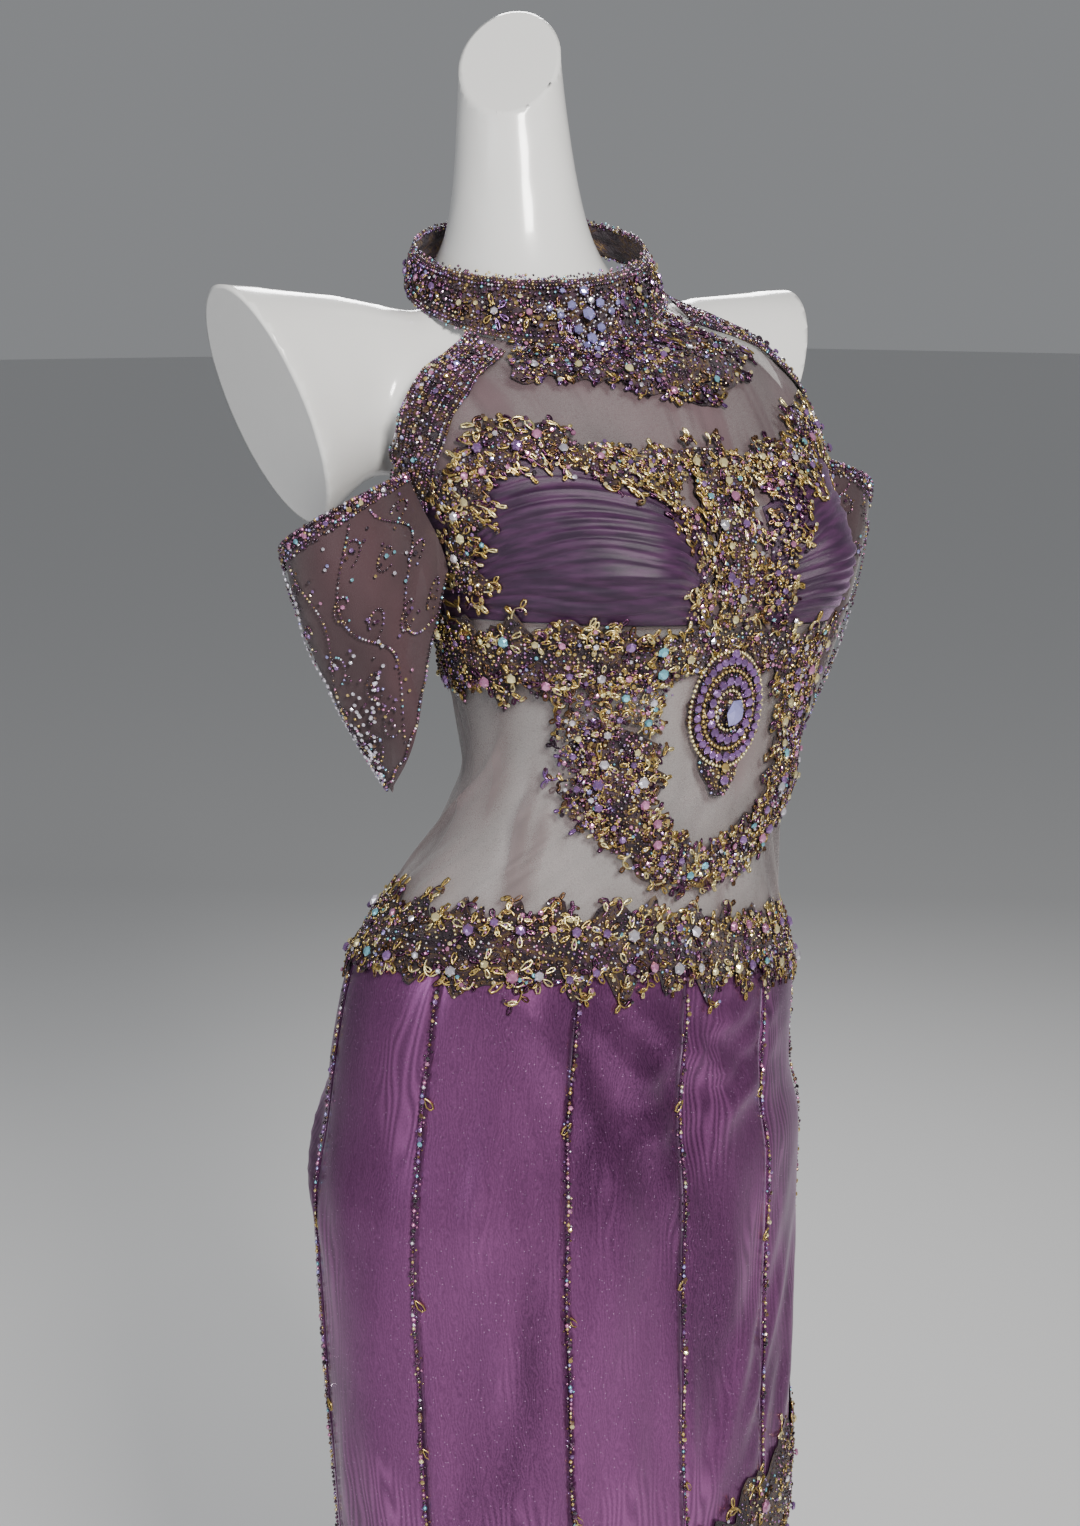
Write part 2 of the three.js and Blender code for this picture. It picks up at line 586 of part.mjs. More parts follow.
// The beaded appliques, cut out of embroidered net and sewn on over the panels.
function appliques() {
  for (const side of [-1, 1]) {
    const hand = side > 0 ? "left" : "right";
    add(`cup_applique_${hand}`, ribbon({ path: CUP_TRIM, side, cols: 26, scallops: 6, lift: 0.5 }), "beadwork");
    const lobe = ribbon({ path: MIDRIFF_TRIM, side, cols: 18, rows: 4, scallops: 4, lift: 0.4 });
    add(`midriff_applique_${hand}`, lobe, "beadwork");
  }
  const down = (rows) => [...rows].reverse();
  const centre = ribbon({ path: down(CENTRE_TRIM), cols: 12, rows: 4, scallops: 3, depth: 0.12, lift: 1 });
  add("centre_applique", centre, "beadwork");
  add("medallion", ribbon({ path: down(MEDALLION), cols: 12, rows: 4, scallops: 2, depth: 0, lift: -0.5 }), "beadwork");

  const neckFoot = (theta) => 1396 - 30 * Math.exp(-(((theta - 6) / 13) ** 2));
  const neck = { from: -42, to: 42, cols: 20, rows: 3, low: neckFoot, high: level(1423), period: 14, depth: 2.5, lift: 0.4 };
  add("neck_applique", girdle(neck), "beadwork");

  const notch = (theta) => 26 * Math.exp(-((theta / 13) ** 2));
  const ribFoot = (theta) => 1182 + 6 * Math.cos(2 * theta * DEG) + notch(theta);
  const rib = { from: -116, to: 116, cols: 38, rows: 3, low: ribFoot, high: level(1228), period: 18, depth: 5 };
  add("underbust_applique", girdle(rib), "beadwork");

  const waist = { low: level(980), high: level(1036), period: 15, depth: 8 };
  add("waist_applique_front", girdle({ from: -94.8, to: 94.8, cols: 40, rows: 3, ...waist }), "beadwork");
  add("waist_applique_back_left", girdle({ from: 95.2, to: 179.8, cols: 18, rows: 3, ...waist }), "beadwork");
  add("waist_applique_back_right", girdle({ from: -179.8, to: -95.2, cols: 18, rows: 3, ...waist }), "beadwork");

  const swing = (theta) => Math.cos((theta - 60) * DEG);
  const low = (theta) => 478 + 52 * swing(theta);
  const high = (theta) => 562 + 72 * swing(theta);
  const knee = { cols: 26, low, high, period: 18, depth: 9, lift: 1.1, cover: onGores };
  add("knee_applique_left", girdle({ from: 0.2, to: 179.8, ...knee }), "beadwork");
  add("knee_applique_right", girdle({ from: -179.8, to: -0.2, ...knee }), "beadwork");
}

// A drop sleeve: a sheer loop that is sewn to the armhole at both ends and hangs to a point.
function sleeves() {
  const cols = 12;
  const rows = 6;
  const standOff = TRIM_HIGH + 0.6;
  for (const side of [-1, 1]) {
    const middle = (s, t) => {
      const front = skin(side * SLEEVE.front, lerp(SLEEVE.frontTop, SLEEVE.sewn, t), standOff);
      const back = skin(side * SLEEVE.back, lerp(SLEEVE.backTop, SLEEVE.sewn, t), standOff);
      const round = 0.5 - 0.5 * Math.cos(Math.PI * s);
      const bow = Math.sin(Math.PI * s);
      const spot = front.lerp(back, round);
      const reach = lerp(SLEEVE.reachTop, SLEEVE.reachFoot, t ** 1.8);
      spot.x += side * reach * bow;
      spot.y -= SLEEVE.swell * (1 - t) * Math.sin(2 * Math.PI * s);
      spot.z -= SLEEVE.sag * (1 - t) * bow + SLEEVE.point * t * bow;
      spot.y += 4 * t * Math.sin(6 * Math.PI * s) * bow;
      return spot;
    };
    const geometry = wall(cols, rows, (s, t, face) => {
      const along = side > 0 ? s : 1 - s;
      const down = 1 - t;
      const step = 0.01;
      const low = Math.max(0, along - step);
      const high = Math.min(1, along + step);
      const round = middle(high, down).sub(middle(low, down)).multiplyScalar(side);
      const up = middle(along, Math.max(0, down - step)).sub(middle(along, Math.min(1, down + step)));
      const outward = round.cross(up).normalize();
      return middle(along, down).addScaledVector(outward, (face - 0.5) * SLEEVE.wall);
    });
    add(`sleeve_${side > 0 ? "left" : "right"}`, geometry, "net");
  }
}

// The limbless form: body, neck with a slanted cut, and two cut shoulders, in one piece.
function form() {
  const count = 20;
  const turns = Array.from({ length: count }, (_, i) => (360 * i) / count);
  const rings = FORM_BODY.map(({ h, inset }) => turns.map((theta) => skin(theta, h, -inset)));
  const round = (row, slope) =>
    turns.map((turn) => {
      const x = row.r * Math.sin(turn * DEG);
      const y = -row.r * Math.cos(turn * DEG);
      return new THREE.Vector3(row.dx + x, row.dy + y, row.h + slope(x, y));
    });
  for (const row of NECK) rings.push(round(row, (x, y) => row.tilt * y));
  const facing = NECK_CUT.azimuth * DEG;
  const steep = 1 / Math.tan(NECK_CUT.rise * DEG);
  rings.push(round(NECK_CUT, (x, y) => -steep * (x * Math.sin(facing) - y * Math.cos(facing))));
  let body = solidOf(loft(rings));
  for (const side of [-1, 1]) {
    const stub = SHOULDER.map((row) =>
      turns.map((turn) => {
        const y = row.dy + side * (SHOULDER_SHIFT.y - row.deep * Math.sin(turn * DEG));
        const rise = row.high * Math.cos(turn * DEG);
        const x = SHOULDER_SHIFT.x + side * (row.x + row.lean * rise);
        return new THREE.Vector3(x, y, row.z + rise);
      }),
    );
    body = body.add(solidOf(loft(stub)));
  }
  add("form_body", geometryFrom(body.simplify(0.05)), "form");
}

// The stand: a round base, and a pole with a socket under the form's body.
function stand() {
  const gap = 0.3;
  const lathe = (name, pairs, count) => {
    const profile = pairs.map(([r, z]) => new THREE.Vector2(r, z));
    const geometry = new THREE.LatheGeometry(profile, count);
    geometry.rotateX(Math.PI / 2);
    add(name, geometry, "steel");
  };
  const { base: r, thick, pole, socket, socketHigh } = STAND;
  const bevel = 3;
  lathe("stand_base", [[0, 0], [r, 0], [r, thick - bevel], [r - bevel, thick], [0, thick]], 32);
  const top = FORM_BODY[0].h - gap;
  const flange = top - socketHigh;
  const rod = [[0, thick + gap], [pole, thick + gap], [pole, flange], [socket, flange + bevel], [socket, top], [0, top]];
  lathe("stand_pole", rod, 20);
}

skirt();
midriff();
bust();
yoke();
collar();
armholeBands();
appliques();
sleeves();
form();
stand();

export default dress;
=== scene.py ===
"""Looks of the mermaid evening dress and its form.

Places on the dress are an angle round the body (0 at the centre front, positive to the wearer's
left) and a height, both on one skin that is the same as the model's. Tables are in millimetres and
degrees, and every mesh is in metres.
"""

import json
import math

import bmesh
import bpy
import numpy as np
from mathutils import Matrix, Vector

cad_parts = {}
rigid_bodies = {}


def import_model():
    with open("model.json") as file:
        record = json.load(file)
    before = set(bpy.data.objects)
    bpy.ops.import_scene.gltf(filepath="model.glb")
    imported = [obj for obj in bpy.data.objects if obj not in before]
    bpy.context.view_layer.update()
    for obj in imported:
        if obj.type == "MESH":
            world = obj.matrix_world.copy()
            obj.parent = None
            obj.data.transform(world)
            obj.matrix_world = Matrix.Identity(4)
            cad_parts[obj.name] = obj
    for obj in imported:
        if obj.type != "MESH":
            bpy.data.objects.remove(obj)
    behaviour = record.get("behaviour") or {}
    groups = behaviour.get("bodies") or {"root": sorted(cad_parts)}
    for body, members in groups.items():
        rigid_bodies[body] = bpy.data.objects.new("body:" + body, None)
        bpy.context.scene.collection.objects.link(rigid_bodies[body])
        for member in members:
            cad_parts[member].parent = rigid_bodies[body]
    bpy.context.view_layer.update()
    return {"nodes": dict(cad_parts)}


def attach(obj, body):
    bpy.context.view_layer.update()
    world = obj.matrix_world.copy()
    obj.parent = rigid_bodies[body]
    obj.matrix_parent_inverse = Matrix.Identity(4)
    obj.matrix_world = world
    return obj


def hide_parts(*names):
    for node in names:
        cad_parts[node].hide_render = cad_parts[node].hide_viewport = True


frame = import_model()

MM = 0.001
CHANCE = np.random.default_rng(7)

# Driving dimensions, as in the model
HEM = 12
SKIRT_TOP = 1002
UNDERBUST = 1228
COLLAR_FOOT = 1431
COLLAR_TOP = 1460
SIDE_SEAM = 95
CENTRE_PANEL = 9

SECTION_NAMES = ("h", "side", "front", "back", "dx", "dy", "power", "tilt", "sway")
SECTIONS = [
    (12, 405, 375, 440, 0, 14, 2, 0, 0),
    (90, 345, 312, 370, 0, 10, 2, 0, 0),
    (190, 268, 232, 270, 0, 6, 2, 0, 0),
    (290, 205, 166, 190, 1, 3, 2, 0, 0),
    (380, 170, 128, 142, 1, 2, 2.05, 0, 0),
    (470, 165, 120, 126, 2, 0, 2.1, 0, 0),
    (570, 177, 125, 129, 2, 0, 2.1, 0, 0),
    (700, 182, 122, 133, 1, 2, 2.1, 0, 0),
    (850, 187, 121, 136, 2, 4, 2.1, 0, 0),
    (900, 178, 115, 128, 2, 3, 2.1, -0.04, -0.06),
    (980, 169, 109, 111, 6, -3, 2.1, -0.12, -0.17),
    (1035, 145, 97, 93, 10, -10, 2.1, -0.12, -0.17),
    (1090, 124, 87, 79, 15, -26, 2.1, -0.1, -0.14),
    (1130, 121, 85, 77, 22, -35, 2.1, -0.08, -0.11),
    (1200, 134, 93, 82, 22, -34, 2.1, -0.06, -0.09),
    (1275, 148, 94, 88, 21, -30, 2.2, -0.03, -0.05),
    (1320, 157, 90, 90, 16, -22, 2.3, 0.01, -0.02),
    (1360, 158, 88, 86, 9, -12, 2.4, 0.07, 0.02),
    (1395, 140, 84, 80, -1, -2, 2.3, 0.16, 0.06),
    (1414, 112, 80, 76, -10, 6, 2.15, 0.28, 0.1),
    (1431, 85, 72, 72, -17, 13, 2, 0.39, 0.14),
    (1452, 76, 66, 66, -20, 15, 2, 0.3, 0.14),
    (1475, 70, 62, 62, -22, 17, 2, 0.28, 0.14),
]
CUP = {"across": 80, "h": 1268, "out": 38, "wide": 52, "up": 62, "down": 44}

# The gores: name, first and last angle, and how full the flute is on the left and on the right
GORES = [
    ("front", 0, 27, 0.85, 0.95),
    ("side_front", 27, 64, 1.1, 1),
    ("side", 64, 105, 1, 1.12),
    ("side_back", 105, 143, 1.15, 1.02),
    ("back", 143, 180, 0.98, 1.08),
]
FLUTE = {"start": 400, "depth": 36}

# Edges of the bodice by angle and height
UPPER_EDGE = [
    (0, 1430.85),
    (66, 1430.85),
    (70, 1416),
    (75, 1398),
    (83, 1367),
    (90, 1344),
    (95, 1328),
    (101, 1310),
    (110, 1296),
    (125, 1286),
    (150, 1276),
    (180, 1268),
]
CUP_EDGE = [(0, 1300), (9, 1303), (24, 1337), (40, 1349), (60, 1336), (80, 1306), (95, 1298)]

# Outer and inner edge of the armhole band: theta, h, theta, h
BAND = [
    (66, 1425, 46, 1425), (69.5, 1412, 50, 1407), (74.5, 1395, 56, 1386), (82.5, 1365, 67, 1356),
    (90, 1342, 78, 1329), (95, 1326, 85, 1312), (101, 1308, 94, 1292), (110, 1294, 108, 1275),
    (125, 1284, 124, 1265), (150, 1274, 150, 1255), (179.6, 1266, 179.6, 1247),
]

# Paths of the appliques: theta, h, half width
CUP_TRIM = [
    (24, 1324, 13),
    (30, 1340, 15),
    (41, 1352, 16),
    (53, 1345, 16),
    (66, 1322, 15),
    (76, 1294, 15),
    (81, 1268, 13),
    (81, 1246, 12),
]
MIDRIFF_TRIM = [
    (31, 1160, 21),
    (35, 1142, 25),
    (35, 1122, 25),
    (26, 1098, 21),
    (14, 1076, 18),
    (4.5, 1066, 15),
]
CENTRE_TRIM = [(0, 1342, 20), (0, 1320, 28), (0, 1292, 27), (0, 1264, 25), (0, 1244, 28)]

SLEEVE = {
    "front": 88, "back": 128, "frontTop": 1326, "backTop": 1268, "sewn": 1262,
    "reachTop": 92, "reachFoot": 34, "swell": 20, "sag": 12, "point": 140, "standOff": 5.2,
}

FORM_BODY = [
    (800, 3),
    (870, 0.75),
    (930, 2),
    (1020, 4),
    (1090, 5),
    (1140, 5),
    (1180, 4),
    (1212, 4),
    (1240, 4.5),
    (1268, 4.5),
    (1296, 4.5),
    (1326, 6.5),
    (1360, 6.5),
    (1392, 6.5),
    (1410, 6.5),
    (1424, 7),
]
# The form's neck: h, r, dx, dy, tilt
NECK = [
    (1440, 63, -20, 14, 0.34),
    (1456, 52, -25, 17, 0.22),
    (1476, 44.5, -28, 19, 0.1),
    (1508, 38.5, -30, 20, 0),
    (1545, 34.5, -31.5, 21, 0),
]
NECK_CUT = {"h": 1574, "r": 32, "dx": -32, "dy": 22, "azimuth": -46, "rise": 44}
# The form's shoulders: x, dy, z, deep, high, lean
SHOULDER = [
    (40, 20, 1374, 38, 52, 0),
    (98, 30, 1372, 34, 50, 0),
    (138, 34, 1375, 34, 55, 0.15),
    (172, 31, 1371, 38, 63, 0.3),
    (203, 29, 1365, 48, 72, 0.42),
]
SHOULDER_SHIFT = (-9, 7)


# The skin


def smooth(place, keys, values):
    """Smooth value of a table's column at a place along its keys, with no overshoot."""
    keys, values = np.asarray(keys, float), np.asarray(values, float)
    rise = np.diff(values) / np.diff(keys)
    slope = np.empty_like(values)
    slope[0], slope[-1] = rise[0], rise[-1]
    product, total = rise[:-1] * rise[1:], rise[:-1] + rise[1:]
    slope[1:-1] = np.where(product > 0, 2 * product / np.where(total == 0, 1, total), 0)
    place = np.clip(place, keys[0], keys[-1])
    i = np.clip(np.searchsorted(keys, place, side="right") - 1, 0, len(keys) - 2)
    span = keys[i + 1] - keys[i]
    t = (place - keys[i]) / span
    return (
        values[i] * (2 * t**3 - 3 * t**2 + 1)
        + slope[i] * span * (t**3 - 2 * t**2 + t)
        + values[i + 1] * (3 * t**2 - 2 * t**3)
        + slope[i + 1] * span * (t**3 - t**2)
    )


def along(rows, place, key=0, value=1):
    """Smooth value of one column of a table of rows at a place along another."""
    return smooth(place, [row[key] for row in rows], [row[value] for row in rows])


def flute(theta, h):
    """How far the skirt stands out or in as its gores flute towards the hem."""
    share = np.clip((FLUTE["start"] - h) / (FLUTE["start"] - HEM), 0, 1)
    turn = np.abs(theta)
    out = np.zeros(np.broadcast(theta, h).shape)
    for _, first, last, left, right in GORES:
        here = (turn >= first) & (turn <= last)
        swell = 0.5 - 0.5 * np.cos(2 * np.pi * (turn - first) / (last - first))
        full = np.where(theta < 0, right, left)
        out = np.where(here, FLUTE["depth"] * share**1.4 * (2 * full * swell - 1), out)
    return out


def base(theta, h):
    """Points of the skin in millimetres, before any thickness."""
    theta, h = np.broadcast_arrays(np.asarray(theta, float), np.asarray(h, float))
    at = {name: along(SECTIONS, h, 0, i) for i, name in enumerate(SECTION_NAMES)}
    s, c = np.sin(np.radians(theta)), np.cos(np.radians(theta))
    x = at["side"] * np.sign(s) * np.abs(s) ** (2 / at["power"])
    deep = np.where(c > 0, at["front"], at["back"])
    y = -deep * np.sign(c) * np.abs(c) ** (2 / at["power"])
    rise = (h - CUP["h"]) / np.where(h > CUP["h"], CUP["up"], CUP["down"])
    bump = sum(np.exp(-(((x - side * CUP["across"]) / CUP["wide"]) ** 2) - rise**2) for side in (-1, 1))
    y = y - np.where(c > 0, CUP["out"] * np.minimum(bump, 1.15), 0)
    fluted = 1 + flute(theta, h) / np.hypot(x, y)
    x, y = x * fluted, y * fluted
    return np.stack([x + at["dx"], y + at["dy"], h + at["tilt"] * y + at["sway"] * x], -1)


def skin_normal(theta, h):
    """Outward directions of the skin."""
    step = 0.5
    round_ = base(theta + step, h) - base(theta - step, h)
    up = base(theta, np.asarray(h) + step) - base(theta, np.asarray(h) - step)
    normal = np.cross(round_, up)
    return normal / np.linalg.norm(normal, axis=-1, keepdims=True)


def skin(theta, h, out=0):
    """Points of the skin, moved out along its normal."""
    theta, h = np.broadcast_arrays(np.asarray(theta, float), np.asarray(h, float))
    return base(theta, h) + skin_normal(theta, h) * np.asarray(out)[..., None]


def per_degree(theta, h):
    """Millimetres of skin in one degree round the body."""
    return np.linalg.norm(base(theta + 1, h) - base(theta - 1, h), axis=-1) / 2


# Smooth random fields


def noise(x, y, seed=0):
    """Smooth noise from -1 to 1 with cells of 1, the same on every run."""
    x, y = np.broadcast_arrays(np.asarray(x, float), np.asarray(y, float))
    xi, yi = np.floor(x).astype(int), np.floor(y).astype(int)
    xf, yf = x - xi, y - yi
    u, v = xf * xf * (3 - 2 * xf), yf * yf * (3 - 2 * yf)

    def value(i, j):
        mixed = np.sin(i * 127.1 + j * 311.7 + seed * 74.7) * 43758.5453
        return 2 * (mixed - np.floor(mixed)) - 1

    low = value(xi, yi) * (1 - u) + value(xi + 1, yi) * u
    high = value(xi, yi + 1) * (1 - u) + value(xi + 1, yi + 1) * u
    return low * (1 - v) + high * v


# Meshes

# Where the cloth's UV starts, with a stretch of its own for each piece that keeps the weaves apart
UV_START = 4000


def link(obj):
    bpy.context.scene.collection.objects.link(obj)
    return obj


def grid(name, points, material):
    """An object from a grid of points in millimetres, with a UV map in metres along the cloth."""
    rows, cols = points.shape[:2]
    index = np.arange(rows * cols).reshape(rows, cols)
    quads = np.stack([index[:-1, :-1], index[:-1, 1:], index[1:, 1:], index[1:, :-1]], -1).reshape(-1, 4)
    mesh = bpy.data.meshes.new(name)
    mesh.from_pydata((points.reshape(-1, 3) * MM).tolist(), [], quads.tolist())
    across = np.linalg.norm(np.diff(points, axis=1), axis=-1)
    up = np.linalg.norm(np.diff(points, axis=0), axis=-1)
    u = np.concatenate([np.zeros((rows, 1)), np.cumsum(across, 1)], 1)
    u -= u[:, -1:] / 2
    v = np.concatenate([np.zeros((1, cols)), np.cumsum(up, 0)], 0).mean(1, keepdims=True)
    own_stretch = float(points[0, 0].sum()) + UV_START
    uv = np.stack([u + own_stretch, np.broadcast_to(v, u.shape)], -1).reshape(-1, 2) * MM
    layer = mesh.uv_layers.new(name="cloth")
    loops = np.empty(len(mesh.loops), int)
    mesh.loops.foreach_get("vertex_index", loops)
    layer.data.foreach_set("uv", uv[loops].ravel())
    mesh.polygons.foreach_set("use_smooth", np.ones(len(mesh.polygons), bool))
    mesh.materials.append(material)
    obj = link(bpy.data.objects.new(name, mesh))
    cut = (float(across.sum(1).max()) * MM, float(up.sum(0).max()) * MM)
    corner = np.cross(points[1:, 1:] - points[:-1, :-1], points[1:, :-1] - points[:-1, 1:])
    area = float(np.linalg.norm(corner, axis=-1).sum()) / 2 * MM * MM
    return obj, cut, area


def thicken(obj, thickness):
    """Gives a shell a wall on its inner side."""
    solid = obj.modifiers.new("thickness", "SOLIDIFY")
    solid.thickness = thickness * MM
    solid.offset = -1


def cloth(name, points, material, nodes, thickness=0, extras=()):
    """A shell of cloth that stands for its nodes, which it hides."""
    obj, cut, area = grid(name, points, material)
    if thickness:
        thicken(obj, thickness)
    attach(obj, "root")
    if nodes:
        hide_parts(*nodes)
    for extra in extras:
        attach(extra, "root")
    area = min(area, cut[0] * cut[1])
    return obj


# Materials


class Field:
    """One value in a material's node tree, with arithmetic."""

    def __init__(self, tree, socket):
        self.tree, self.socket = tree, socket

    def _join(self, other, operation, swap=False):
        node = self.tree.nodes.new("ShaderNodeMath")
        node.operation = operation
        pair = (other, self) if swap else (self, other)
        for slot, value in zip(node.inputs, pair):
            if isinstance(value, Field):
                self.tree.links.new(value.socket, slot)
            else:
                slot.default_value = value
        return Field(self.tree, node.outputs[0])

    def __add__(self, other):
        return self._join(other, "ADD")

    def __sub__(self, other):
        return self._join(other, "SUBTRACT")

    def __rsub__(self, other):
        return self._join(other, "SUBTRACT", swap=True)

    def __mul__(self, other):
        return self._join(other, "MULTIPLY")

    __radd__, __rmul__ = __add__, __mul__

    def over(self, edge):
        """1 where the value is over an edge, and 0 elsewhere."""
        return self._join(edge, "GREATER_THAN")

    def ramp(self, low, high, start=0.0, end=1.0):
        """A smooth step from start to end as the value runs from low to high."""
        node = self.tree.nodes.new("ShaderNodeMapRange")
        node.interpolation_type = "SMOOTHSTEP"
        self.tree.links.new(self.socket, node.inputs["Value"])
        for name, value in (("From Min", low), ("From Max", high), ("To Min", start), ("To Max", end)):
            node.inputs[name].default_value = value
        return Field(self.tree, node.outputs["Result"])


class Nodes:
    """A node tree that is built up node by node."""

    def node(self, kind, inputs=None, **settings):
        """A new node, with its settings, and with its inputs linked to sockets or set to values."""
        made = self.tree.nodes.new(kind)
        for key, value in settings.items():
            setattr(made, key, value)
        for key, value in (inputs or {}).items():
            value = value.socket if isinstance(value, Field) else value
            if isinstance(value, bpy.types.NodeSocket):
                self.tree.links.new(value, made.inputs[key])
            else:
                made.inputs[key].default_value = value
        return made


class Look(Nodes):
    """A material around one Principled shader."""

    def __init__(self, name, **settings):
        self.material = bpy.data.materials.new(name)
        self.material.use_nodes = True
        self.tree = self.material.node_tree
        self.shader = self.tree.nodes["Principled BSDF"]
        for key, value in settings.items():
            self.shader.inputs[key.replace("_", " ")].default_value = value

    def place(self, source="UV", scale=(1, 1, 1), turn=0):
        """Coordinates on the object, scaled and turned."""
        spot = self.node("ShaderNodeTexCoord").outputs[source]
        inputs = {"Vector": spot, "Scale": scale, "Rotation": (0, 0, math.radians(turn))}
        return Field(self.tree, self.node("ShaderNodeMapping", inputs).outputs[0])

    def noise(self, place, scale, detail=2, distortion=0):
        inputs = {"Vector": place, "Scale": scale, "Detail": detail, "Distortion": distortion}
        return Field(self.tree, self.node("ShaderNodeTexNoise", inputs).outputs["Fac"])

    def cells(self, place, scale, output="Distance", feature="F1"):
        node = self.node("ShaderNodeTexVoronoi", {"Vector": place, "Scale": scale}, feature=feature)
        return Field(self.tree, node.outputs[output])

    def waves(self, place, scale, distortion=0, detail=1, direction="X"):
        inputs = {"Vector": place, "Scale": scale, "Distortion": distortion, "Detail": detail}
        node = self.node("ShaderNodeTexWave", inputs, bands_direction=direction)
        return Field(self.tree, node.outputs["Fac"])

    def attribute(self, name):
        return Field(self.tree, self.node("ShaderNodeAttribute", attribute_name=name).outputs["Color"])

    def red(self, colour):
        """The first channel of a colour, as a random number for each cell."""
        return Field(self.tree, self.node("ShaderNodeSeparateXYZ", {0: colour}).outputs["X"])

    def mix(self, share, low, high):
        """A colour between two, through the colour sockets of the Mix node."""
        low, high = (end if isinstance(end, Field) else (*end, 1) for end in (low, high))
        node = self.node("ShaderNodeMix", {0: share, 6: low, 7: high}, data_type="RGBA")
        return Field(self.tree, node.outputs[2])

    def set(self, name, value):
        self.tree.links.new(value.socket, self.shader.inputs[name])

    def bump(self, height, depth, strength=1):
        node = self.node("ShaderNodeBump", {"Height": height, "Distance": depth * MM, "Strength": strength})
        self.tree.links.new(node.outputs[0], self.shader.inputs["Normal"])


# Cells in a metre of cloth: of the glitter on the satin, of the net's mesh, and of chiffon's weave
SEQUINS = 620
NET_MESH = 800
CHIFFON_THREADS = 1100


def satin_look():
    """Plum satin under a fine glittering net, whose two layers make faint watery lines. Broad soft vertical
    bands of painted highlight run through its colour.
    """
    look = Look("satin", Roughness=0.3, Metallic=0.7, Sheen_Weight=0.15, Sheen_Roughness=0.35)
    look.shader.inputs["Sheen Tint"].default_value = (0.9, 0.6, 0.95, 1)
    place = look.place("UV")
    # The cloud's broad vertical streaks paint soft highlight bands into the colour, and also vary the
    # roughness
    cloud = look.noise(look.place("Object", (1, 1, 0.3)), 10, 2, 0.6)
    where = look.noise(look.place("UV", (1, 0.5, 1)), 11, 1).ramp(0.45, 0.62)
    watery = look.waves(look.place("UV", (1, 0.22, 1), 5), 55, 16, 1) * where
    fine = look.waves(look.place("UV", (1, 0.3, 1), -9), 150, 20, 1) * (1 - where)
    grain = look.noise(look.place("UV", (1, 0.6, 1), 45), 900, 2)
    lit = look.red(look.cells(place, SEQUINS, "Color")).over(0.9)
    spark = lit * look.cells(place, SEQUINS).ramp(0.15, 0.3, 1, 0)
    # The tone holds the painted highlight bands of the cloud, the net's watery lines and the grain
    tone = 0.08 + cloud.ramp(0.3, 0.7) * 0.3 + watery * 0.42 + fine * 0.13 + grain.ramp(0.35, 0.65) * 0.12
    # The colour runs from dark plum up to a pale lilac that is painted highlight
    painted_highlights_and_moire = look.mix(tone, (0.035, 0.005, 0.038), (0.38, 0.125, 0.34))
    look.set("Base Color", look.mix(spark * 0.5, painted_highlights_and_moire, (0.75, 0.45, 0.75)))
    look.set("Roughness", 0.2 + cloud * 0.14 + grain * 0.08 - spark * 0.15)
    look.bump(watery * 0.4 + fine * 0.25 + grain * 0.3, 0.25, 0.35)
    return look.material


def net_look(name, tint, cover, folds):
    """Sheer net: its threads cover a share of what lies under it, and more where it folds."""
    look = Look(name, Roughness=0.6, Sheen_Weight=0.3)
    place = look.place("UV")
    streak = look.noise(look.place("UV", (1, 0.16, 1), folds), 46, 2, 0.3)
    streak2 = look.noise(look.place("UV", (1, 0.22, 1), -folds * 0.6), 20, 2, 0.5)
    ridge = streak.ramp(0.52, 0.72) * 0.55 + streak2.ramp(0.5, 0.75) * 0.35
    mesh = look.cells(place, NET_MESH, feature="DISTANCE_TO_EDGE").ramp(0.03, 0.12, 1, 0)
    shade = look.noise(place, 14, 2).ramp(0.3, 0.7)
    look.set("Base Color", look.mix(shade, tint, tuple(min(1, c * 1.7) for c in tint)))
    look.set("Alpha", ridge * 0.5 + mesh * 0.16 + cover)
    look.bump(ridge + mesh * 0.2, 0.5, 0.5)
    return look.material


def chiffon_look():
    """Dark silk chiffon with a fine plain weave."""
    look = Look("chiffon", Roughness=0.42, Sheen_Weight=0.35, Sheen_Roughness=0.35)
    look.shader.inputs["Sheen Tint"].default_value = (0.75, 0.5, 0.8, 1)
    silk = look.noise(look.place("UV", (0.2, 1, 1)), 240, 3)
    cloud = look.noise(look.place("UV"), 22, 2)
    tone = silk.ramp(0.35, 0.7) * 0.6 + cloud * 0.4
    look.set("Base Color", look.mix(tone, (0.012, 0.004, 0.017), (0.07, 0.02, 0.07)))
    warp = look.waves(look.place("UV"), CHIFFON_THREADS)
    weft = look.waves(look.place("UV"), CHIFFON_THREADS, direction="Y")
    look.bump((warp + weft) * 0.2 + silk * 0.7, 0.25, 0.5)
    return look.material


def embroidery_look():
    """The ground of the appliques: plum net that is closely worked in dark thread and some gold."""
    look = Look("embroidery", Roughness=0.55, Sheen_Weight=0.1)
    place = look.place("UV")
    bent = look.noise(place, 60, 2)
    cord = look.cells(place, 190, feature="DISTANCE_TO_EDGE").ramp(0.04, 0.13, 1, 0)
    stitch = look.waves(look.place("UV", turn=30), 520, 6, 2)
    thread = look.mix(bent.ramp(0.4, 0.6), (0.016, 0.006, 0.013), (0.05, 0.02, 0.035))
    gold = look.mix(stitch, (0.06, 0.032, 0.015), (0.26, 0.17, 0.06))
    look.set("Base Color", look.mix(cord * bent.ramp(0.42, 0.58) * 0.8, thread, gold))
    look.set("Metallic", cord * 0.5)
    look.bump(cord + stitch * 0.35 + bent * 0.3, 0.8, 0.8)
    return look.material


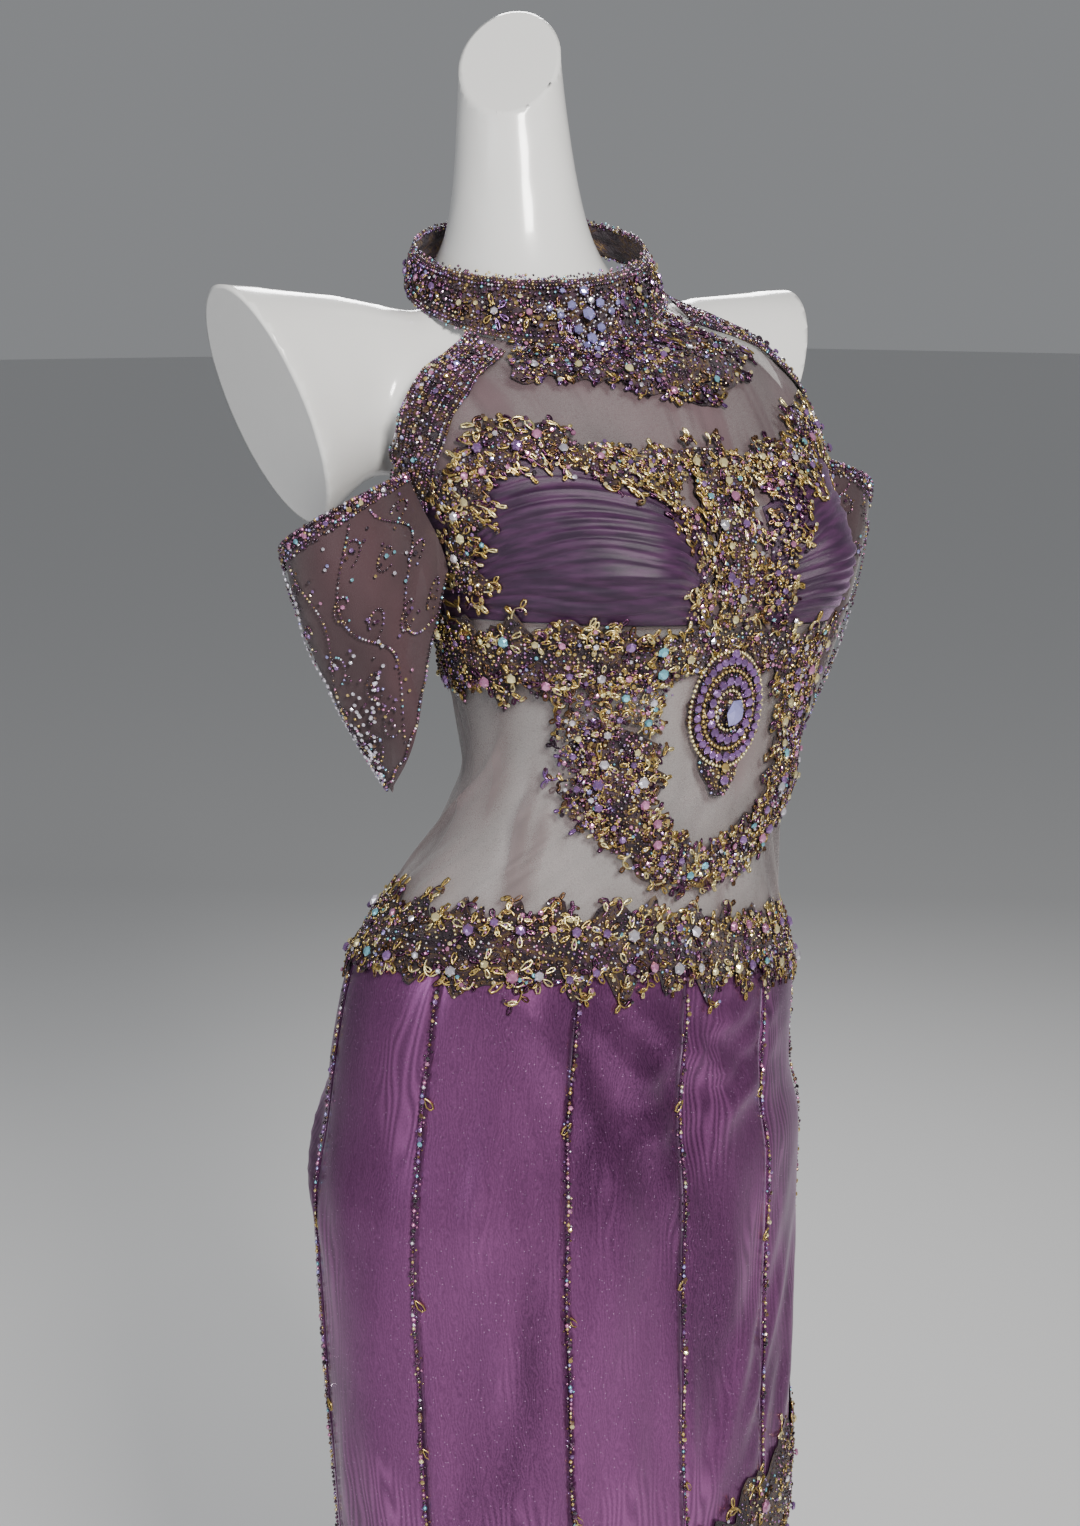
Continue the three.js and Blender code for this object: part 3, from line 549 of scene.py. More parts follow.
def bead_look(name, roughness, metallic, coat):
    """Glass beads whose colour comes from each bead's own tint."""
    look = Look(name, Roughness=roughness, Metallic=metallic, Coat_Weight=coat, Coat_Roughness=0.05)
    tint = look.attribute("tint")
    cloud = look.noise(look.place("Object"), 900, 2)
    look.set("Base Color", look.mix(cloud.ramp(0.4, 0.8) * 0.14, tint, (0.9, 0.8, 0.95)))
    look.set("Roughness", cloud * 0.12 + roughness)
    return look.material


def form_look():
    """The form's white gloss paint, with a faint orange peel."""
    look = Look("form_gloss", Roughness=0.22, Coat_Weight=0.6, Coat_Roughness=0.08)
    place = look.place("Object")
    orange = look.noise(place, 260, 2)
    cloud = look.noise(place, 6, 3)
    look.set("Base Color", look.mix(cloud, (0.78, 0.78, 0.76), (0.86, 0.86, 0.85)))
    look.set("Roughness", cloud.ramp(0.3, 0.7, 0.18, 0.28) + orange * 0.03)
    look.bump(orange, 0.06, 0.3)
    return look.material


def steel_look():
    """Brushed steel of the pole and the base."""
    look = Look("brushed_steel", Metallic=1, Roughness=0.3)
    brushed = look.noise(look.place("Object", (60, 60, 1.5)), 12, 3)
    look.set("Base Color", look.mix(brushed, (0.42, 0.43, 0.45), (0.68, 0.69, 0.71)))
    look.set("Roughness", brushed.ramp(0.2, 0.8, 0.22, 0.42))
    look.bump(brushed, 0.05, 0.4)
    return look.material


SATIN = satin_look()
NET_PALE = net_look("net_midriff", (0.11, 0.078, 0.08), 0.47, 62)
NET_YOKE = net_look("net_yoke", (0.07, 0.042, 0.048), 0.66, 70)
NET_SLEEVE = net_look("net_sleeve", (0.032, 0.012, 0.016), 0.88, 20)
CHIFFON = chiffon_look()
EMBROIDERY = embroidery_look()
BEAD = bead_look("glass_bead", 0.16, 0.55, 0.6)
CRYSTAL = bead_look("crystal", 0.06, 0.7, 1)
CORD_LOOK = bead_look("metal_cord", 0.24, 0.95, 0)
FORM = form_look()
STEEL = steel_look()


# Beads

# Colours of the beads, and how many of each there are in a hundred where gold or plum leads.
TINTS = {
    "gold": ((0.6, 0.43, 0.13), 18, 5),
    "bronze": ((0.16, 0.08, 0.03), 22, 12),
    "smoke": ((0.035, 0.018, 0.03), 22, 26),
    "plum": ((0.1, 0.025, 0.075), 12, 25),
    "amethyst": ((0.3, 0.15, 0.42), 5, 10),
    "rose": ((0.72, 0.27, 0.5), 8, 9),
    "silver": ((0.8, 0.76, 0.86), 4, 6),
    "aqua": ((0.25, 0.7, 0.85), 1, 3),
    "lilac": ((0.42, 0.4, 0.85), 1, 4),
    # A full-bright gold that is partly a paler gold bead and partly a painted glint on the gold beads, cords
    # and stones
    "gold_and_painted_glint": ((1.0, 0.86, 0.42), 10, 3),
}
TINT_COLOURS = np.array([row[0] for row in TINTS.values()])
TINT_SHARES = np.array([row[1:] for row in TINTS.values()], float).T
TINT_SHARES /= TINT_SHARES.sum(1, keepdims=True)
TINT_INDEX = {name: i for i, name in enumerate(TINTS)}
MIXED = -1


def turns_round(count):
    """Angles in equal steps round a full turn."""
    return 2 * np.pi * np.arange(count) / count


def template(name, points, faces, rounded):
    mesh = bpy.data.meshes.new(name)
    mesh.from_pydata(points, [], faces)
    mesh.polygons.foreach_set("use_smooth", np.full(len(faces), rounded))
    return link(bpy.data.objects.new(name, mesh))


def bead_template():
    """A seed bead of 8 faces that are shaded as round, 1 across."""
    points = [(0.5, 0, 0), (0, 0.5, 0), (-0.5, 0, 0), (0, -0.5, 0), (0, 0, 0.5), (0, 0, -0.5)]
    faces = [(i, (i + 1) % 4, 4) for i in range(4)] + [((i + 1) % 4, i, 5) for i in range(4)]
    return template("bead", points, faces, True)


def crystal_template():
    """A cut stone with a flat table and six sides, 1 across."""
    sides = 6
    points = [(0, 0, 0.34)]
    for i, (radius, height) in enumerate([(0.3, 0.32), (0.52, 0.08), (0.34, -0.16)]):
        turns = 2 * np.pi * (np.arange(sides) + i / 2) / sides
        points += [(radius * math.cos(turn), radius * math.sin(turn), height) for turn in turns]
    faces = []
    for i in range(sides):
        j = (i + 1) % sides
        faces += [(0, 1 + i, 1 + j), (1 + i, 7 + i, 1 + j), (1 + j, 7 + i, 7 + j), (7 + i, 13 + i, 7 + j)]
    return template("crystal", points, faces, False)


class Group(Nodes):
    """A Geometry Nodes group with named number inputs."""

    def __init__(self, name, numbers):
        self.tree = bpy.data.node_groups.new(name, "GeometryNodeTree")
        self.tree.interface.new_socket("Geometry", in_out="INPUT", socket_type="NodeSocketGeometry")
        self.tree.interface.new_socket("Geometry", in_out="OUTPUT", socket_type="NodeSocketGeometry")
        self.identifiers = {}
        for label, start in numbers.items():
            socket = self.tree.interface.new_socket(label, in_out="INPUT", socket_type="NodeSocketFloat")
            socket.default_value = start
            self.identifiers[label] = socket.identifier
        self.source = self.node("NodeGroupInput")

    def finish(self, geometry, material):
        """Ends the group in real geometry with a material."""
        real = self.node("GeometryNodeRealizeInstances", {0: geometry})
        paint = self.node("GeometryNodeSetMaterial", {0: real.outputs[0], "Material": material})
        self.node("NodeGroupOutput", {0: paint.outputs[0]})
        return self

    def run(self, name, mesh, **numbers):
        """The group's result on a mesh as a plain object of the beadwork."""
        source = link(bpy.data.objects.new(name + "_source", mesh))
        modifier = source.modifiers.new("group", "NODES")
        modifier.node_group = self.tree
        for label, value in numbers.items():
            modifier[self.identifiers[label]] = float(value)
        graph = bpy.context.evaluated_depsgraph_get()
        made = bpy.data.meshes.new_from_object(source.evaluated_get(graph))
        made.name = name
        bpy.data.objects.remove(source)
        obj = link(bpy.data.objects.new(name, made))
        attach(obj, "root")
        return obj


def scatter_group(piece, material):
    """Puts a bead or stone on every point, turned, sized and tinted by the point."""
    group = Group("scatter_" + piece.name, {"scale": 1.0})
    bead = group.node("GeometryNodeObjectInfo", {"Object": piece})
    turn = group.node("GeometryNodeInputNamedAttribute", {"Name": "turn"}, data_type="FLOAT_VECTOR")
    euler = group.node("FunctionNodeEulerToRotation", {0: turn.outputs["Attribute"]})
    size = group.node("GeometryNodeInputNamedAttribute", {"Name": "size"}, data_type="FLOAT_VECTOR")
    scaled = group.node(
        "ShaderNodeVectorMath",
        {0: size.outputs["Attribute"], "Scale": group.source.outputs["scale"]},
        operation="SCALE",
    )
    place = group.node("GeometryNodeInstanceOnPoints", {
        "Points": group.source.outputs[0],
        "Instance": bead.outputs["Geometry"],
        "Rotation": euler.outputs[0],
        "Scale": scaled.outputs[0],
    })
    return group.finish(place.outputs[0], material)


# The metal cords: their radius, and how many sides each has
CORD_RADIUS = 0.85
CORD_SIDES = 3


def cord_group(material):
    """Turns lines of edges into round cords."""
    group = Group("cord", {"radius": CORD_RADIUS * MM})
    curve = group.node("GeometryNodeMeshToCurve", {"Mesh": group.source.outputs[0]})
    radius = group.source.outputs["radius"]
    ring = group.node("GeometryNodeCurvePrimitiveCircle", {"Resolution": CORD_SIDES, "Radius": radius})
    ends = {"Curve": curve.outputs[0], "Profile Curve": ring.outputs[0]}
    tube = group.node("GeometryNodeCurveToMesh", ends)
    smooth_ = group.node("GeometryNodeSetShadeSmooth", {0: tube.outputs[0]})
    return group.finish(smooth_.outputs[0], material)


bead_object, crystal_object = bead_template(), crystal_template()
SCATTER = {"bead": scatter_group(bead_object, BEAD), "crystal": scatter_group(crystal_object, CRYSTAL)}
CORD = cord_group(CORD_LOOK)


def facing(normals, spins):
    """Euler turns that point a template's +Z along each normal and its +X sideways, then spin it."""
    z = normals / np.linalg.norm(normals, axis=1, keepdims=True)
    side = np.cross((0.0, 0.0, 1.0), z)
    side /= np.maximum(np.linalg.norm(side, axis=1, keepdims=True), 1e-6)
    up = np.cross(z, side)
    c, s = np.cos(spins)[:, None], np.sin(spins)[:, None]
    x, y = c * side + s * up, c * up - s * side
    level_ = np.hypot(x[:, 0], x[:, 1])
    turns = (np.arctan2(y[:, 2], z[:, 2]), np.arctan2(-x[:, 2], level_), np.arctan2(x[:, 1], x[:, 0]))
    return np.stack(turns, 1)


def with_vectors(mesh, **columns):
    """Adds one vector attribute for each named column of rows."""
    for key, data in columns.items():
        layer = mesh.attributes.new(key, "FLOAT_VECTOR", "POINT")
        layer.data.foreach_set("vector", np.ascontiguousarray(data, float).ravel())
    return mesh


def scatter(name, kind, points, normals, spins, sizes, tints):
    """A mesh of beads: places in millimetres, sizes (n, 3) in millimetres."""
    mesh = bpy.data.meshes.new(name + "_points")
    mesh.from_pydata((points * MM).tolist(), [], [])
    with_vectors(mesh, turn=facing(normals, spins), size=sizes, tint=tints)
    return SCATTER[kind].run(name, mesh, scale=MM)


def string(name, points, edges, tints):
    """A mesh of cords along edges between places in millimetres."""
    mesh = bpy.data.meshes.new(name + "_lines")
    mesh.from_pydata((points * MM).tolist(), edges, [])
    return CORD.run(name, with_vectors(mesh, tint=tints), radius=CORD_RADIUS * MM)


# Colours of the metal cords where gold leads and where plum leads
CORD_TONES = ("gold", "gold_and_painted_glint", "bronze", "gold", "plum")
DARK_TONES = ("bronze", "plum", "gold", "smoke", "amethyst")


# Columns of a row of beads: its place along and across the strip, its size, and the rest
A, B, LENGTH, WIDTH, KIND, TINT, TURN, LIFT = range(8)
# The two kinds of beads, and the names of their pieces
SEED, STONE = range(2)
KINDS = ("bead", "crystal")
# How far the cords lie over their ground
CORD_LIFT = 0.9


class Beads:
    """Beads and cords laid out flat on a strip, in the columns above."""

    def __init__(self, tones=CORD_TONES):
        self.rows = []
        self.cords = []
        self.tones = tones

    def add(self, a, b, size=2.2, length=None, kind=SEED, tint=MIXED, turn=0.0, lift=0.0):
        length = size if length is None else length
        values = (np.atleast_1d(np.asarray(a, float)), b, length, size, kind, tint, turn, lift)
        self.rows.append(np.stack(np.broadcast_arrays(*values), 1).astype(float))

    def line(self, a, b, pitch=2.3, **settings):
        """Beads strung along a path of flat points, a pitch apart."""
        path = np.stack([a, b], 1)
        step = np.linalg.norm(np.diff(path, axis=0), axis=1)
        run = np.concatenate([[0], np.cumsum(step)])
        at = np.arange(0, run[-1] + pitch / 2, pitch)
        x, y = np.interp(at, run, path[:, 0]), np.interp(at, run, path[:, 1])
        turn = np.arctan2(np.gradient(y), np.gradient(x)) if len(at) > 1 else 0.0
        self.add(x, y, turn=turn, **settings)

    def cord(self, a, b, tint):
        """A metal cord along a path of flat points."""
        self.cords.append((np.asarray(a, float), np.asarray(b, float), TINT_INDEX[tint]))

    def table(self):
        return np.concatenate([np.empty((0, LIFT + 1)), *self.rows])


# The stones at the flowers' middles, and the share of each
FLOWER_STONES = {"amethyst": 0.34, "silver": 0.2, "rose": 0.2, "gold_and_painted_glint": 0.2, "aqua": 0.06}


def loop(beads, a, b, reach, angle, tint):
    """A petal: one closed loop of cord that is round at its outer end."""
    t = np.linspace(0, 2 * np.pi, 8)
    out, side = reach * (0.5 - 0.5 * np.cos(t)), reach * 0.27 * np.sin(t) * (0.7 - 0.3 * np.cos(t))
    c, s = math.cos(angle), math.sin(angle)
    beads.cord(a + out * c - side * s, b + out * s + side * c, tint)


def flower(beads, a, b, radius, petals, spin):
    """A flower: a stone in a ring of seeds, with looped petals that hold a seed each."""
    stone = CHANCE.choice(list(FLOWER_STONES), p=list(FLOWER_STONES.values()))
    beads.add(a, b, size=radius * 0.72, kind=STONE, tint=TINT_INDEX[stone], lift=1.3)
    ring = spin + turns_round(8)
    tone = "gold" if CHANCE.random() < 0.5 else "plum"
    x, y = a + radius * 0.5 * np.cos(ring), b + radius * 0.5 * np.sin(ring)
    beads.add(x, y, size=1.9, tint=TINT_INDEX[tone], lift=0.9)
    for i in range(petals):
        angle = spin + 2 * math.pi * i / petals + CHANCE.uniform(-0.15, 0.15)
        c, s = radius * math.cos(angle), radius * math.sin(angle)
        petal = radius * CHANCE.uniform(0.6, 0.85)
        loop(beads, a + 0.45 * c, b + 0.45 * s, petal, angle, CHANCE.choice(beads.tones))
        beads.add(a + 0.85 * c, b + 0.85 * s, size=2.1, kind=STONE, lift=0.9)


def spray(beads, a, b, reach, angle, hand):
    """A sprig: a curling stem of cord with leaf loops on both sides and a stone at its end."""
    steps = 10
    t = np.linspace(0, 1, steps)
    curl = angle + hand * 2.9 * t**1.8
    step = reach * 1.25 / steps
    x, y = a + np.cumsum(step * np.cos(curl)), b + np.cumsum(step * np.sin(curl))
    beads.cord(x, y, CHANCE.choice(beads.tones))
    beads.line(x[:6], y[:6], 2.2, size=1.8)
    for i, side in ((2, 1), (4, -1), (6, 1)):
        leaf = reach * CHANCE.uniform(0.3, 0.45)
        loop(beads, x[i], y[i], leaf, curl[i] + side, CHANCE.choice(beads.tones))
    beads.add(x[-1], y[-1], size=CHANCE.uniform(2.4, 3.6), kind=STONE, lift=0.9)


# The cells in which a strip's free places are found, how far beads drop past its edges, and how
# far single beads lean
FILL_CELL = 0.9
EDGE_DROP = 1.6
TILT = 0.22
GROUND_ROWS = 7


class Strip:
    """A band of the skin: its middle line by angle and height, and its half width, in steps.

    The line runs on straight past both ends, so that sprigs can grow out there.
    """

    MARGIN = 24

    def __init__(self, theta, h, half, out=3.4, seed=1, ragged=0.16, period=34, side=1, gilt=0.15):
        self.out, self.seed, self.ragged, self.period, self.side = out, seed, ragged, period, side
        self.gilt = gilt
        run_on = np.arange(1, self.MARGIN + 1)
        theta = self.longer(theta, run_on)
        h = self.longer(h, run_on)
        self.theta, self.h, self.half = theta, h, np.pad(half, self.MARGIN, mode="edge")
        step = np.linalg.norm(np.diff(base(theta, h), axis=0), axis=1)
        run = np.concatenate([[0], np.cumsum(step)])
        self.run = run - run[self.MARGIN]
        self.length = self.run[-1 - self.MARGIN]
        across = np.gradient(theta, self.run) * per_degree(theta, h)
        up = np.gradient(h, self.run)
        size = np.hypot(across, up)
        self.across, self.up = across / size, up / size

    def longer(self, values, run_on):
        """The values, run on straight past both ends."""
        first, last = values[1] - values[0], values[-1] - values[-2]
        return np.concatenate([values[0] - first * run_on[::-1], values, values[-1] + last * run_on])

    def at(self, a, values):
        """A value of the strip at a place along it."""
        return np.interp(a, self.run, values)

    def width(self, a, sign):
        """Half width at a place along the strip, with an uneven lobed edge."""
        wave = np.cos(2 * np.pi * (a / self.period + 0.25 * sign)) + 1.5 * noise(a / 7, sign * 3.0, self.seed)
        return self.at(a, self.half) * (1 + self.ragged * (wave - 0.7))

    def place(self, a, b):
        """Angle and height of a place along and across the strip."""
        theta, h = self.at(a, self.theta), self.at(a, self.h)
        scale = per_degree(theta, h)
        return self.side * (theta - self.at(a, self.up) * b / scale), h + self.at(a, self.across) * b

    def crown(self, share, rough=0.0):
        """How far the ground stands out at a share of the half width: most at the middle."""
        return self.out * (0.55 + 0.45 * np.sqrt(1 - np.clip(share, -1, 1) ** 2 * 0.9)) + rough

    def ground(self, name, nodes, rests_on, step, made):
        """The strip's embroidered cloth, with the beads that are made for it."""
        a = np.linspace(0, self.length, max(4, int(self.length / step)))
        share = np.linspace(-1, 1, GROUND_ROWS)[:, None]
        b = np.where(share < 0, share * self.width(a, -1), share * self.width(a, 1))
        theta, h = self.place(np.broadcast_to(a, b.shape), b)
        if self.side < 0:
            theta, h = theta[:, ::-1], h[:, ::-1]
        out = self.crown(share, 0.3 * noise(a / 5, share * 4, self.seed))
        points = skin(theta, h, np.broadcast_to(out, theta.shape))
        cloth(name, points, EMBROIDERY, nodes, extras=made)

    def motifs(self, pitch, size=1.0, ends=(False, False)):
        """Flowers in a wandering row or two, and sprigs that grow out past the edges and the ends."""
        beads = Beads(CORD_TONES if self.gilt > 0 else DARK_TONES)
        for i in range(max(1, round(self.length / pitch))):
            a = (i + 0.5) * pitch + CHANCE.uniform(-3, 3)
            half = float(self.at(a, self.half))
            sways = (-0.5, 0.45) if half > 20 else (0.25 if i % 2 else -0.25,)
            for sway in sways:
                radius = min(CHANCE.uniform(5.5, 10.5), half * 0.6) * size
                middle = (sway + CHANCE.uniform(-0.15, 0.15)) * half
                spot = a + CHANCE.uniform(-3, 3)
                flower(beads, spot, middle, radius, CHANCE.integers(5, 7), CHANCE.uniform(0, 1))
            for sign in (-1, 1):
                for _ in range(2):
                    foot = a + CHANCE.uniform(-0.5, 0.5) * pitch
                    edge = float(self.width(foot, sign)) * sign * CHANCE.uniform(0.5, 0.85)
                    lean = sign * CHANCE.uniform(0.7, 2.4)
                    spray(beads, foot, edge, CHANCE.uniform(8, 15) * size, lean, CHANCE.choice([-1, 1]))
        for end, wanted, ahead in ((0, ends[0], math.pi), (self.length, ends[1], 0)):
            if wanted:
                half = float(self.at(end, self.half))
                for share in (-0.7, -0.2, 0.3, 0.8):
                    lean = ahead + CHANCE.uniform(-0.6, 0.6)
                    spray(beads, end, share * half, CHANCE.uniform(11, 17), lean, CHANCE.choice([-1, 1]))
        return beads

    def fill(self, beads, pitch=2.6, size=(1.6, 2.5), stones=0.12):
        """Fills the gaps between laid beads with mixed seeds and small stones."""
        cell = FILL_CELL
        laid = beads.table()
        wide = float(self.half.max()) * 1.5
        cols, rows = int(self.length / cell) + 2, int(2 * wide / cell) + 2
        taken = np.zeros((cols, rows), bool)

        def spot(a, b):
            across = np.clip((a / cell).astype(int), 0, cols - 1)
            return across, np.clip(((b + wide) / cell).astype(int), 0, rows - 1)

        for da in (-cell, 0, cell):
            for db in (-cell, 0, cell):
                taken[spot(laid[:, A] + da, laid[:, B] + db)] = True
        a, b = np.meshgrid(np.arange(pitch / 2, self.length, pitch), np.arange(-wide, wide, pitch))
        a, b = a.ravel(), b.ravel()
        a = a + CHANCE.uniform(-0.35, 0.35, len(a)) * pitch
        b = b + CHANCE.uniform(-0.35, 0.35, len(b)) * pitch
        inside = (b < self.width(a, 1) * 0.97) & (b > -self.width(a, -1) * 0.97) & ~taken[spot(a, b)]
        inside &= (a > 0) & (a < self.length)
        a, b = a[inside], b[inside]
        stone = CHANCE.random(len(a)) < stones
        sizes = CHANCE.uniform(*size, len(a))
        beads.add(a[~stone], b[~stone], size=sizes[~stone])
        beads.add(a[stone], b[stone], size=sizes[stone] * 1.35, kind=STONE, lift=0.3)
        return beads

    def lifted(self, a, b, lift):
        """How far beads stand out, which drop where they lie past the ground's edge."""
        share = np.abs(b) / self.at(a, self.half)
        return self.crown(share) - EDGE_DROP * np.clip(share - 1, 0, 0.6) + lift

    def tinted(self, rows):
        """Colours of the beads: the mixed ones lean to gold in some patches and to plum in others."""
        tints = rows[:, TINT].astype(int)
        a, b = rows[:, A], rows[:, B]
        patch = noise(a / 24, b / 20, self.seed + 7) + 0.5 * noise(a / 9, b / 9, 8)
        patch = patch + self.gilt
        for leader, these in ((0, patch > 0), (1, patch <= 0)):
            these = these & (tints == MIXED)
            tints[these] = CHANCE.choice(len(TINTS), int(these.sum()), p=TINT_SHARES[leader])
        return TINT_COLOURS[tints] * CHANCE.uniform(0.7, 1.25, (len(rows), 1))

    def make(self, name, beads):
        """The beads' meshes: one of seeds, one of stones and one of cords."""
        rows = beads.table()
        width = rows[:, WIDTH]
        theta, h = self.place(rows[:, A], rows[:, B])
        out = self.lifted(rows[:, A], rows[:, B], width * 0.3 + rows[:, LIFT])
        points, normals = skin(theta, h, out), skin_normal(theta, h)
        normals = normals + CHANCE.normal(0, TILT, normals.shape) * np.minimum(1, 3 / width)[:, None]
        tints = self.tinted(rows)
        made = []
        for kind, label in enumerate(KINDS):
            these = rows[:, KIND] == kind
            if not these.any():
                continue
            spot = rows[these, A]
            turn = rows[these, TURN] + np.arctan2(self.at(spot, self.up), self.at(spot, self.across))
            turn = np.where(self.side < 0, np.pi - turn, turn)
            high = width[these] * (0.85 if kind == SEED else 1)
            sizes = np.stack([rows[these, LENGTH], width[these], high], 1)
            places, directions = points[these], normals[these]
            made.append(scatter(f"{name}_{label}s", label, places, directions, turn, sizes, tints[these]))
        if beads.cords:
            made.append(self.corded(name + "_cords", beads.cords))
        return made

    def corded(self, name, cords):
        """The cords of a strip as one mesh."""
        counts = [len(cord[0]) for cord in cords]
        a = np.concatenate([cord[0] for cord in cords])
        b = np.concatenate([cord[1] for cord in cords])
        tints = TINT_COLOURS[np.repeat([cord[2] for cord in cords], counts)]
        points = skin(*self.place(a, b), self.lifted(a, b, CORD_LIFT))
        ends = np.cumsum(counts) - 1
        edges = [(i, i + 1) for i in np.setdiff1d(np.arange(len(a)), ends).tolist()]
        return string(name, points, edges, tints)


def path_strip(rows, side=1, **settings):
    """A strip along a table of angle, height and half width."""
    keys = np.linspace(0, 1, len(rows))
    t = np.linspace(0, 1, 160)
    theta, h, half = (smooth(t, keys, [row[i] for row in rows]) for i in range(3))
    return Strip(theta, h, half, side=side, **settings)


def girdle_strip(first, last, low, high, **settings):
    """A strip round the body between two angles, with a foot and a top by angle."""
    theta = np.linspace(first, last, 240)
    low, high = low(theta), high(theta)
    return Strip(theta, (low + high) / 2, (high - low) / 2, **settings)


def trimmed(node, strip, rests_on, pitch, size=1.0, seeds=2.6, ends=(False, False), step=3.0):
    """An applique: its ground, its motifs and the beads between them, whose pitch is seeds."""
    beads = strip.fill(strip.motifs(pitch, size, ends), seeds)
    made = strip.make("beads_" + node, beads)
    strip.ground(node + "_ground", [node], rests_on, step, made)


# The skirt

# Soft folds of the satin: theta, h, half length, direction in degrees, half width, depth
FOLDS = [
    (-6, 962, 46, -28, 6, 1.8), (-16, 946, 52, -38, 7, 1.6), (8, 955, 48, 18, 6, 1.5),
    (2, 932, 55, -12, 8, 1.3), (-2, 948, 60, -20, 6, 1.5), (20, 940, 50, 30, 7, 1.3),
    (-34, 950, 50, -50, 8, 1.2), (5, 905, 70, 8, 9, 1.1), (-18, 820, 110, 84, 20, 1.6),
    (-44, 820, 120, 92, 22, 1.4), (12, 780, 90, 98, 18, 1.3), (-30, 640, 130, 88, 22, 1.5),
    (-24, 925, 70, -62, 10, 1.4), (16, 905, 60, 35, 10, 1.1), (-4, 880, 75, -70, 11, 1.0),
    (10, 640, 120, 78, 12, 2.0), (18, 600, 110, 68, 10, 1.7), (2, 660, 130, 100, 14, 1.5),
    (24, 690, 90, 62, 11, 1.4), (-12, 620, 120, 96, 13, 1.2), (-40, 760, 120, 86, 16, 1.0),
    (40, 640, 110, 80, 12, 1.6), (-60, 700, 130, 92, 16, 1.0), (120, 880, 70, 40, 12, 1.4),
    (-120, 880, 70, -40, 12, 1.4), (160, 900, 60, 20, 10, 1.2), (-160, 900, 60, -20, 10, 1.2),
    (95, 560, 110, 84, 13, 1.4), (-95, 560, 110, 96, 13, 1.4), (150, 620, 120, 92, 14, 1.2),
    (-150, 640, 120, 88, 14, 1.2),
]
# How deep the deepest folds are, how much each bends along its length, how near the satin may come
# to the skin, the height where the folds fade out under the waist, and where the knee's band holds
# the cloth flat
FOLD_DEPTH = 3.6
FOLD_BEND = 0.0012
CLOSEST = 0.3
FOLDS_TOP = 988
KNEE = 560
# Millimetres to a degree round the hips
DEGREE = 2.9
# The satin: how far it stands out, its thickness, and the height up to which its rows lie closer
SATIN_OUT = 1.3
SATIN_THICK = 0.8
FLARE_TOP = 420


def folded(theta, h):
    """How far soft folds move the satin out."""
    total = np.zeros(np.broadcast(theta, h).shape)
    for at, height, reach, turn, wide, deep in FOLDS:
        x, y = (theta - at) * DEGREE, h - height
        c, s = math.cos(math.radians(turn)), math.sin(math.radians(turn))
        a = x * c + y * s
        b = y * c - x * s + FOLD_BEND * a**2
        profile = np.exp(-((b / wide) ** 2)) - 0.55 * np.exp(-(((b - 1.7 * wide) / (1.3 * wide)) ** 2))
        total += FOLD_DEPTH * deep * profile * np.exp(-((a / reach) ** 2))
    return total * np.clip((FOLDS_TOP - h) / 24, 0, 1) * np.clip(np.abs(h - KNEE) / 60 - 0.9, 0, 1)


def skirt():
    """The ten satin gores, puckered along their seams and softly folded between them."""
    cols, flare_rows, upper_rows, inset = 20, 46, 70, 0.06
    flare = np.linspace(HEM, FLARE_TOP, flare_rows, endpoint=False)
    h = np.concatenate([flare, np.linspace(FLARE_TOP, SKIRT_TOP - 0.2, upper_rows)])
    for side in (-1, 1):
        for name, first, last, _, _ in GORES:
            theta = side * np.linspace(first + inset, last - inset, cols)
            theta = theta if side > 0 else theta[::-1]
            theta, height = np.meshgrid(theta, h)
            seam = np.minimum(np.abs(np.abs(theta) - first), np.abs(np.abs(theta) - last))
            pucker = -1.1 * np.exp(-((seam / 0.9) ** 2)) * (1 + 0.4 * noise(height / 9, side * first, 3))
            soft = 0.7 * noise(theta / 9, height / 70, 5) + 0.3 * noise(theta / 4, height / 22, 6)
            out = SATIN_OUT + folded(theta, height) * np.clip(seam / 3, 0.25, 1) + pucker + soft
            points = skin(theta, height, np.maximum(out, CLOSEST))
            node = f"gore_{name}_{'left' if side > 0 else 'right'}"
            cloth(node + "_satin", points, SATIN, [node], SATIN_THICK)


# The height where the seams' beads stop above the floor, and the pitch of their sprigs
SEAMS_STOP = 30
SEAM_SPRIGS = 130


